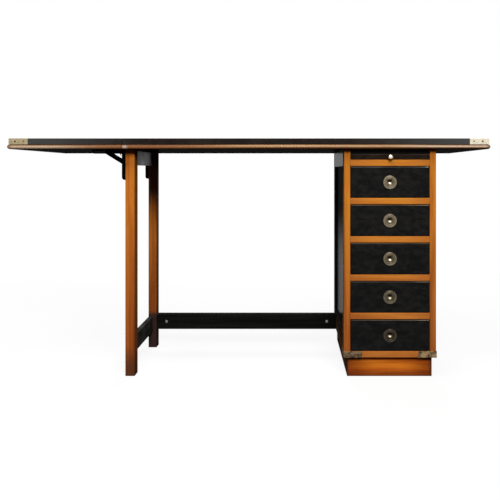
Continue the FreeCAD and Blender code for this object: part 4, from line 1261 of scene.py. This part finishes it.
@dataclass
class Knob:
    """Turned knob of the writing slide: a rose, a neck with a cove, and a ball."""

    rose_radius: float = 0.0065
    rose_height: float = 0.002
    rose_ease: float = 0.0016
    neck_radius: float = 0.0035
    neck_length: float = 0.005
    cove_share: float = 0.14
    ball_radius: float = 0.0085
    stud_radius: float = 0.0025
    columns: int = 96
    ease_steps: int = 8
    cove_steps: int = 16
    ball_steps: int = 40

    def profile(self, length: float) -> Array:
        """Profile from the tip of the stud to the top of the ball.

        The rose has a quarter-round edge, the neck is a cove whose radius falls and rises as a cosine, and
        the ball is a circle that starts where it is as wide as the neck.

        Args:
            length: length of the stud in the slide.

        Returns:
            Radius and height of each point.
        """
        stud = np.array([[0.0, -length], [self.stud_radius, -length], [self.stud_radius, 0.0],
                         [self.rose_radius, 0.0]])
        rose = quarter_round(self.rose_radius, self.rose_height, self.rose_ease, self.ease_steps)
        share = np.linspace(0.0, 1.0, self.cove_steps)[:, None]
        waist = self.neck_radius * (1 - self.cove_share * (1 - np.cos(2 * math.pi * share)))
        neck = np.concatenate([waist, self.rose_height + self.neck_length * share], axis=1)
        start = math.asin(self.neck_radius / self.ball_radius)
        around = np.linspace(start, math.pi, self.ball_steps)[1:]
        rise = self.rose_height + self.neck_length + self.ball_radius * math.cos(start)
        circled = self.ball_radius * np.stack([np.sin(around), -np.cos(around)], axis=-1)
        ball = np.array([0.0, rise]) + circled
        ball[-1, 0] = 0.0
        return np.concatenate([stud, rose, neck, ball])

    def build(self) -> None:
        """Turns the knob and sets it on the slide's edge."""
        low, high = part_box("slide_knob")
        rise = math.sqrt(self.ball_radius ** 2 - self.neck_radius ** 2) + self.ball_radius
        outward = self.rose_height + self.neck_length + rise
        face = Vector(((low.x + high.x) / 2, low.y + outward, (low.z + high.z) / 2))
        points, faces = turned(self.profile(high.y - face.y), self.columns)
        piece = Piece("slide_knob", "writing_slide", "polished_brass", Coat(KNOB_BRASS))
        piece.place(on_face(points, face), faces)


@dataclass
class Top(SubAssembly):
    """Fixed part of the top: board, lining, brass corners and nosing."""

    title: str = "top"
    coats: dict[str, Coat] = field(default_factory=lambda: {
        "top_board": Coat(BOARD_LACQUER), "top_lining": Coat(FLAT_BLACK),
        "top_corners": Coat(CORNER_BRASS), "corner_screws": Coat(SHOE_BRASS)})
    nosing: Nosing = field(default_factory=lambda: Nosing("top_nosing", "desk_frame", seam_at_right=False))

    def build(self) -> None:
        """Dresses the board and makes its nosing."""
        super().build()
        self.nosing.build()


@dataclass
class Leaf(Top):
    """Drop leaf: the same pieces, and the arms of its brackets."""

    title: str = "leaf"
    coats: dict[str, Coat] = field(default_factory=lambda: {
        "leaf_board": Coat(BOARD_LACQUER), "leaf_lining": Coat(FLAT_BLACK),
        "leaf_corners": Coat(LEAF_CORNER_BRASS), "leaf_corner_screws": Coat(SHOE_BRASS),
        "bracket_arms": Coat(BLACK_STEEL), "arm_screws": Coat(BLACK_STEEL)})
    nosing: Nosing = field(default_factory=lambda: Nosing("leaf_nosing", "leaf", seam_at_right=True))


@dataclass
class LegFrame(SubAssembly):
    """Two legs with their apron and stretchers, and the knock-down bolts."""

    title: str = "leg frame"
    coats: dict[str, Coat] = field(default_factory=lambda: {
        "front_leg": Coat(LEG_WOOD, Grain.ALONG_Z), "back_leg": Coat(BACK_LEG_WOOD, Grain.ALONG_Z),
        "leg_apron": Coat(APRON_LACQUER, Grain.ALONG_Y), "side_stretcher": Coat(SIDE_LACQUER, Grain.ALONG_Y),
        "long_stretcher": Coat(STRETCHER_LACQUER), "stretcher_bolts": Coat(ZINC_STEEL),
        "barrel_nuts": Coat(ZINC_STEEL, Grain.ALONG_Y)})


@dataclass
class Brackets(SubAssembly):
    """Steel uprights on the legs and the folding struts of the leaf."""

    title: str = "brackets"
    coats: dict[str, Coat] = field(default_factory=lambda: {
        "bracket_uprights": Coat(BLACK_STEEL, Grain.ALONG_Z),
        "bracket_pins": Coat(BLACK_STEEL, Grain.ALONG_Y), "bracket_screws": Coat(BLACK_STEEL),
        "front_strut": Coat(BLACK_STEEL), "rear_strut": Coat(BLACK_STEEL)})


@dataclass
class Pedestal(SubAssembly):
    """Carcass of the drawers: framed sides and back, honey front frame, plinth and brass shoes."""

    title: str = "pedestal"
    coats: dict[str, Coat] = field(default_factory=lambda: {
        "left_stile": Coat(STILE_WOOD, Grain.ALONG_Z), "right_stile": Coat(RIGHT_STILE_WOOD, Grain.ALONG_Z),
        "front_rails": Coat(RAIL_WOOD), "plinth": Coat(PLINTH_WOOD, Grain.BY_FACE),
        "back_posts": Coat(MATT_LACQUER, Grain.ALONG_Z), "side_rails": Coat(RAIL_LACQUER, Grain.ALONG_Y),
        "left_side_panel": Coat(PANEL_LACQUER, Grain.ALONG_Z),
        "right_side_panel": Coat(PANEL_LACQUER, Grain.ALONG_Z),
        "back_panel": Coat(MATT_LACQUER, Grain.ALONG_Z), "carcass_top": Coat(MATT_LACQUER),
        "carcass_bottom": Coat(PLAIN_WOOD), "drawer_runners": Coat(PLAIN_WOOD, Grain.ALONG_Y),
        "brass_shoes": Coat(SHOE_BRASS)})


@dataclass
class WritingSlide(SubAssembly):
    """Pull-out writing board with its black edge and brass knob."""

    title: str = "writing slide"
    coats: dict[str, Coat] = field(default_factory=lambda: {
        "slide_board": Coat(PLAIN_WOOD), "slide_edge": Coat(SLIDE_LACQUER)})
    knob: Knob = field(default_factory=Knob)

    def build(self) -> None:
        """Dresses the board and turns the knob."""
        super().build()
        self.knob.build()


@dataclass
class Drawer(SubAssembly):
    """One drawer: lacquered front, plain box and ring pull."""

    title: str = "drawer"
    coats: dict[str, Coat] = field(default_factory=dict)
    number: int = 1

    def build(self) -> None:
        """Dresses the front and the box and makes the pull."""
        lacquer = FIRST_FRONT_LACQUER if self.number == 1 else SATIN_LACQUER
        self.coats = {f"drawer_{self.number}_front": Coat(lacquer),
                      f"drawer_{self.number}_box": Coat(PLAIN_WOOD, Grain.BY_FACE)}
        super().build()
        RingPull(self.number).build()


@dataclass(frozen=True)
class Lamp:
    """A soft rectangular studio light."""

    name: str
    place: tuple[float, float, float]
    aim: tuple[float, float, float]
    size: tuple[float, float]
    power: float

    def build(self) -> None:
        """Hangs the lamp and turns it towards its aim."""
        light = bpy.data.lights.new(self.name, "AREA")
        light.shape = "RECTANGLE"
        light.size, light.size_y = self.size
        light.energy = self.power
        lamp = bpy.data.objects.new(self.name, light)
        lamp.location = self.place
        lamp.rotation_euler = (Vector(self.aim) - Vector(self.place)).to_track_quat("-Z", "Y").to_euler()
        lamp.visible_camera = False
        bpy.context.scene.collection.objects.link(lamp)


@dataclass
class Studio:
    """Pale floor, white surround, soft lamps and the camera in front of the desk."""

    floor_rings: tuple[float, ...] = (0.9, 2.7, 5.4, 9.0)
    floor_columns: int = 96
    floor_drop: float = 0.0003
    floor_colour: str = "#F7F7F6"
    floor_bounce: str = "#2B2B2B"
    floor_white: float = 0.86
    white_span: Span = (1.3, 2.6)
    fill: float = 0.02
    lamps: tuple[Lamp, ...] = (
        Lamp("key", (0.5, -3.3, 2.4), (0.0, 0.0, 0.45), (1.4, 1.2), 118.0),
        Lamp("overhead", (-0.2, -1.4, 2.9), (0.0, 0.0, 0.6), (2.2, 1.0), 45.0),
        Lamp("rear", (0.2, 3.4, 2.4), (0.0, 0.0, 0.4), (1.6, 1.4), 105.0),
        Lamp("left side", (-3.6, -0.4, 1.5), (0.0, 0.0, 0.4), (1.2, 1.2), 32.0),
        Lamp("right side", (3.9, 0.4, 1.5), (0.0, 0.0, 0.4), (1.2, 1.2), 12.0))
    camera_place: tuple[float, float, float] = (0.1331, -2.4775, 0.657)
    camera_lens: float = 50.32
    camera_sensor: float = 36.0
    camera_shift: tuple[float, float] = (-0.082, -0.158)

    def floor_finish(self) -> bpy.types.Material:
        """Makes a pale finish that shows the desk's shadow near it and is the surround's white far away.

        Returns:
            The material.
        """
        s = Shader("pale_floor")
        x, y, _ = s.split(s.places["Object"])
        away = s.math("SQRT", s.math("ADD", s.times(x, x), s.times(y, y)))
        seen = s.seen()
        pale = s.node("ShaderNodeBsdfDiffuse", {"Color": s.mix(seen, self.floor_bounce, self.floor_colour)})
        white = s.node("ShaderNodeEmission", {"Color": WHITE, "Strength": 1.0})
        share = s.times(s.fade(away, *self.white_span, self.floor_white, 1.0), seen)
        mixed = s.node("ShaderNodeMixShader", {0: share, 1: pale.outputs[0], 2: white.outputs[0]})
        s.node("ShaderNodeOutputMaterial", {"Surface": mixed.outputs[0]})
        return s.material

    def floor(self) -> None:
        """Lays a round floor: points (r cos a, r sin a) for the rings' radii r, one face in the middle."""
        radius = np.array(self.floor_rings)[:, None]
        points = around_axis(radius, -self.floor_drop, circle(self.floor_columns))
        cells = quads(len(self.floor_rings), self.floor_columns)[:, ::-1].tolist()
        mesh = bpy.data.meshes.new("floor")
        mesh.from_pydata(points.reshape(-1, 3).tolist(), [], [*cells, list(range(self.floor_columns))])
        mesh.materials.append(self.floor_finish())
        floor = bpy.data.objects.new("floor", mesh)
        bpy.context.scene.collection.objects.link(floor)

    def surround(self) -> None:
        """White for the camera, for reflections and through glass; a softer fill for all else."""
        world = bpy.data.worlds.new("surround")
        world.use_nodes = True
        tree = NodeTree(world.node_tree)
        fill, white = (tree.node("ShaderNodeBackground", {"Color": WHITE, "Strength": strength}).outputs[0]
                       for strength in (self.fill, 1.0))
        mixed = tree.node("ShaderNodeMixShader", {0: tree.seen(), 1: fill, 2: white})
        tree.node("ShaderNodeOutputWorld", {"Surface": mixed.outputs[0]})
        bpy.context.scene.world = world

    def camera(self) -> None:
        """Sets the camera in front of the desk, level, a little below the top."""
        data = bpy.data.cameras.new("camera")
        data.lens = self.camera_lens
        data.sensor_width = self.camera_sensor
        data.shift_x, data.shift_y = self.camera_shift
        camera = bpy.data.objects.new("camera", data)
        camera.location = self.camera_place
        camera.rotation_euler = (math.pi / 2, 0.0, 0.0)
        bpy.context.scene.collection.objects.link(camera)
        bpy.context.scene.camera = camera

    def build(self) -> None:
        """Builds the whole studio."""
        self.floor()
        self.surround()
        for lamp in self.lamps:
            lamp.build()
        self.camera()
        bpy.context.scene.view_settings.view_transform = "Standard"


def main() -> None:
    """Builds the desk's sub-assemblies and the studio in order."""
    logging.basicConfig(level=logging.INFO, format="%(message)s")
    drawers = [Drawer(number=number) for number in DRAWER_NUMBERS]
    for assembly in [Top(), Leaf(), LegFrame(), Brackets(), Pedestal(), WritingSlide(), *drawers]:
        assembly.build()
    Studio().build()


if __name__ == "__main__":
    main()
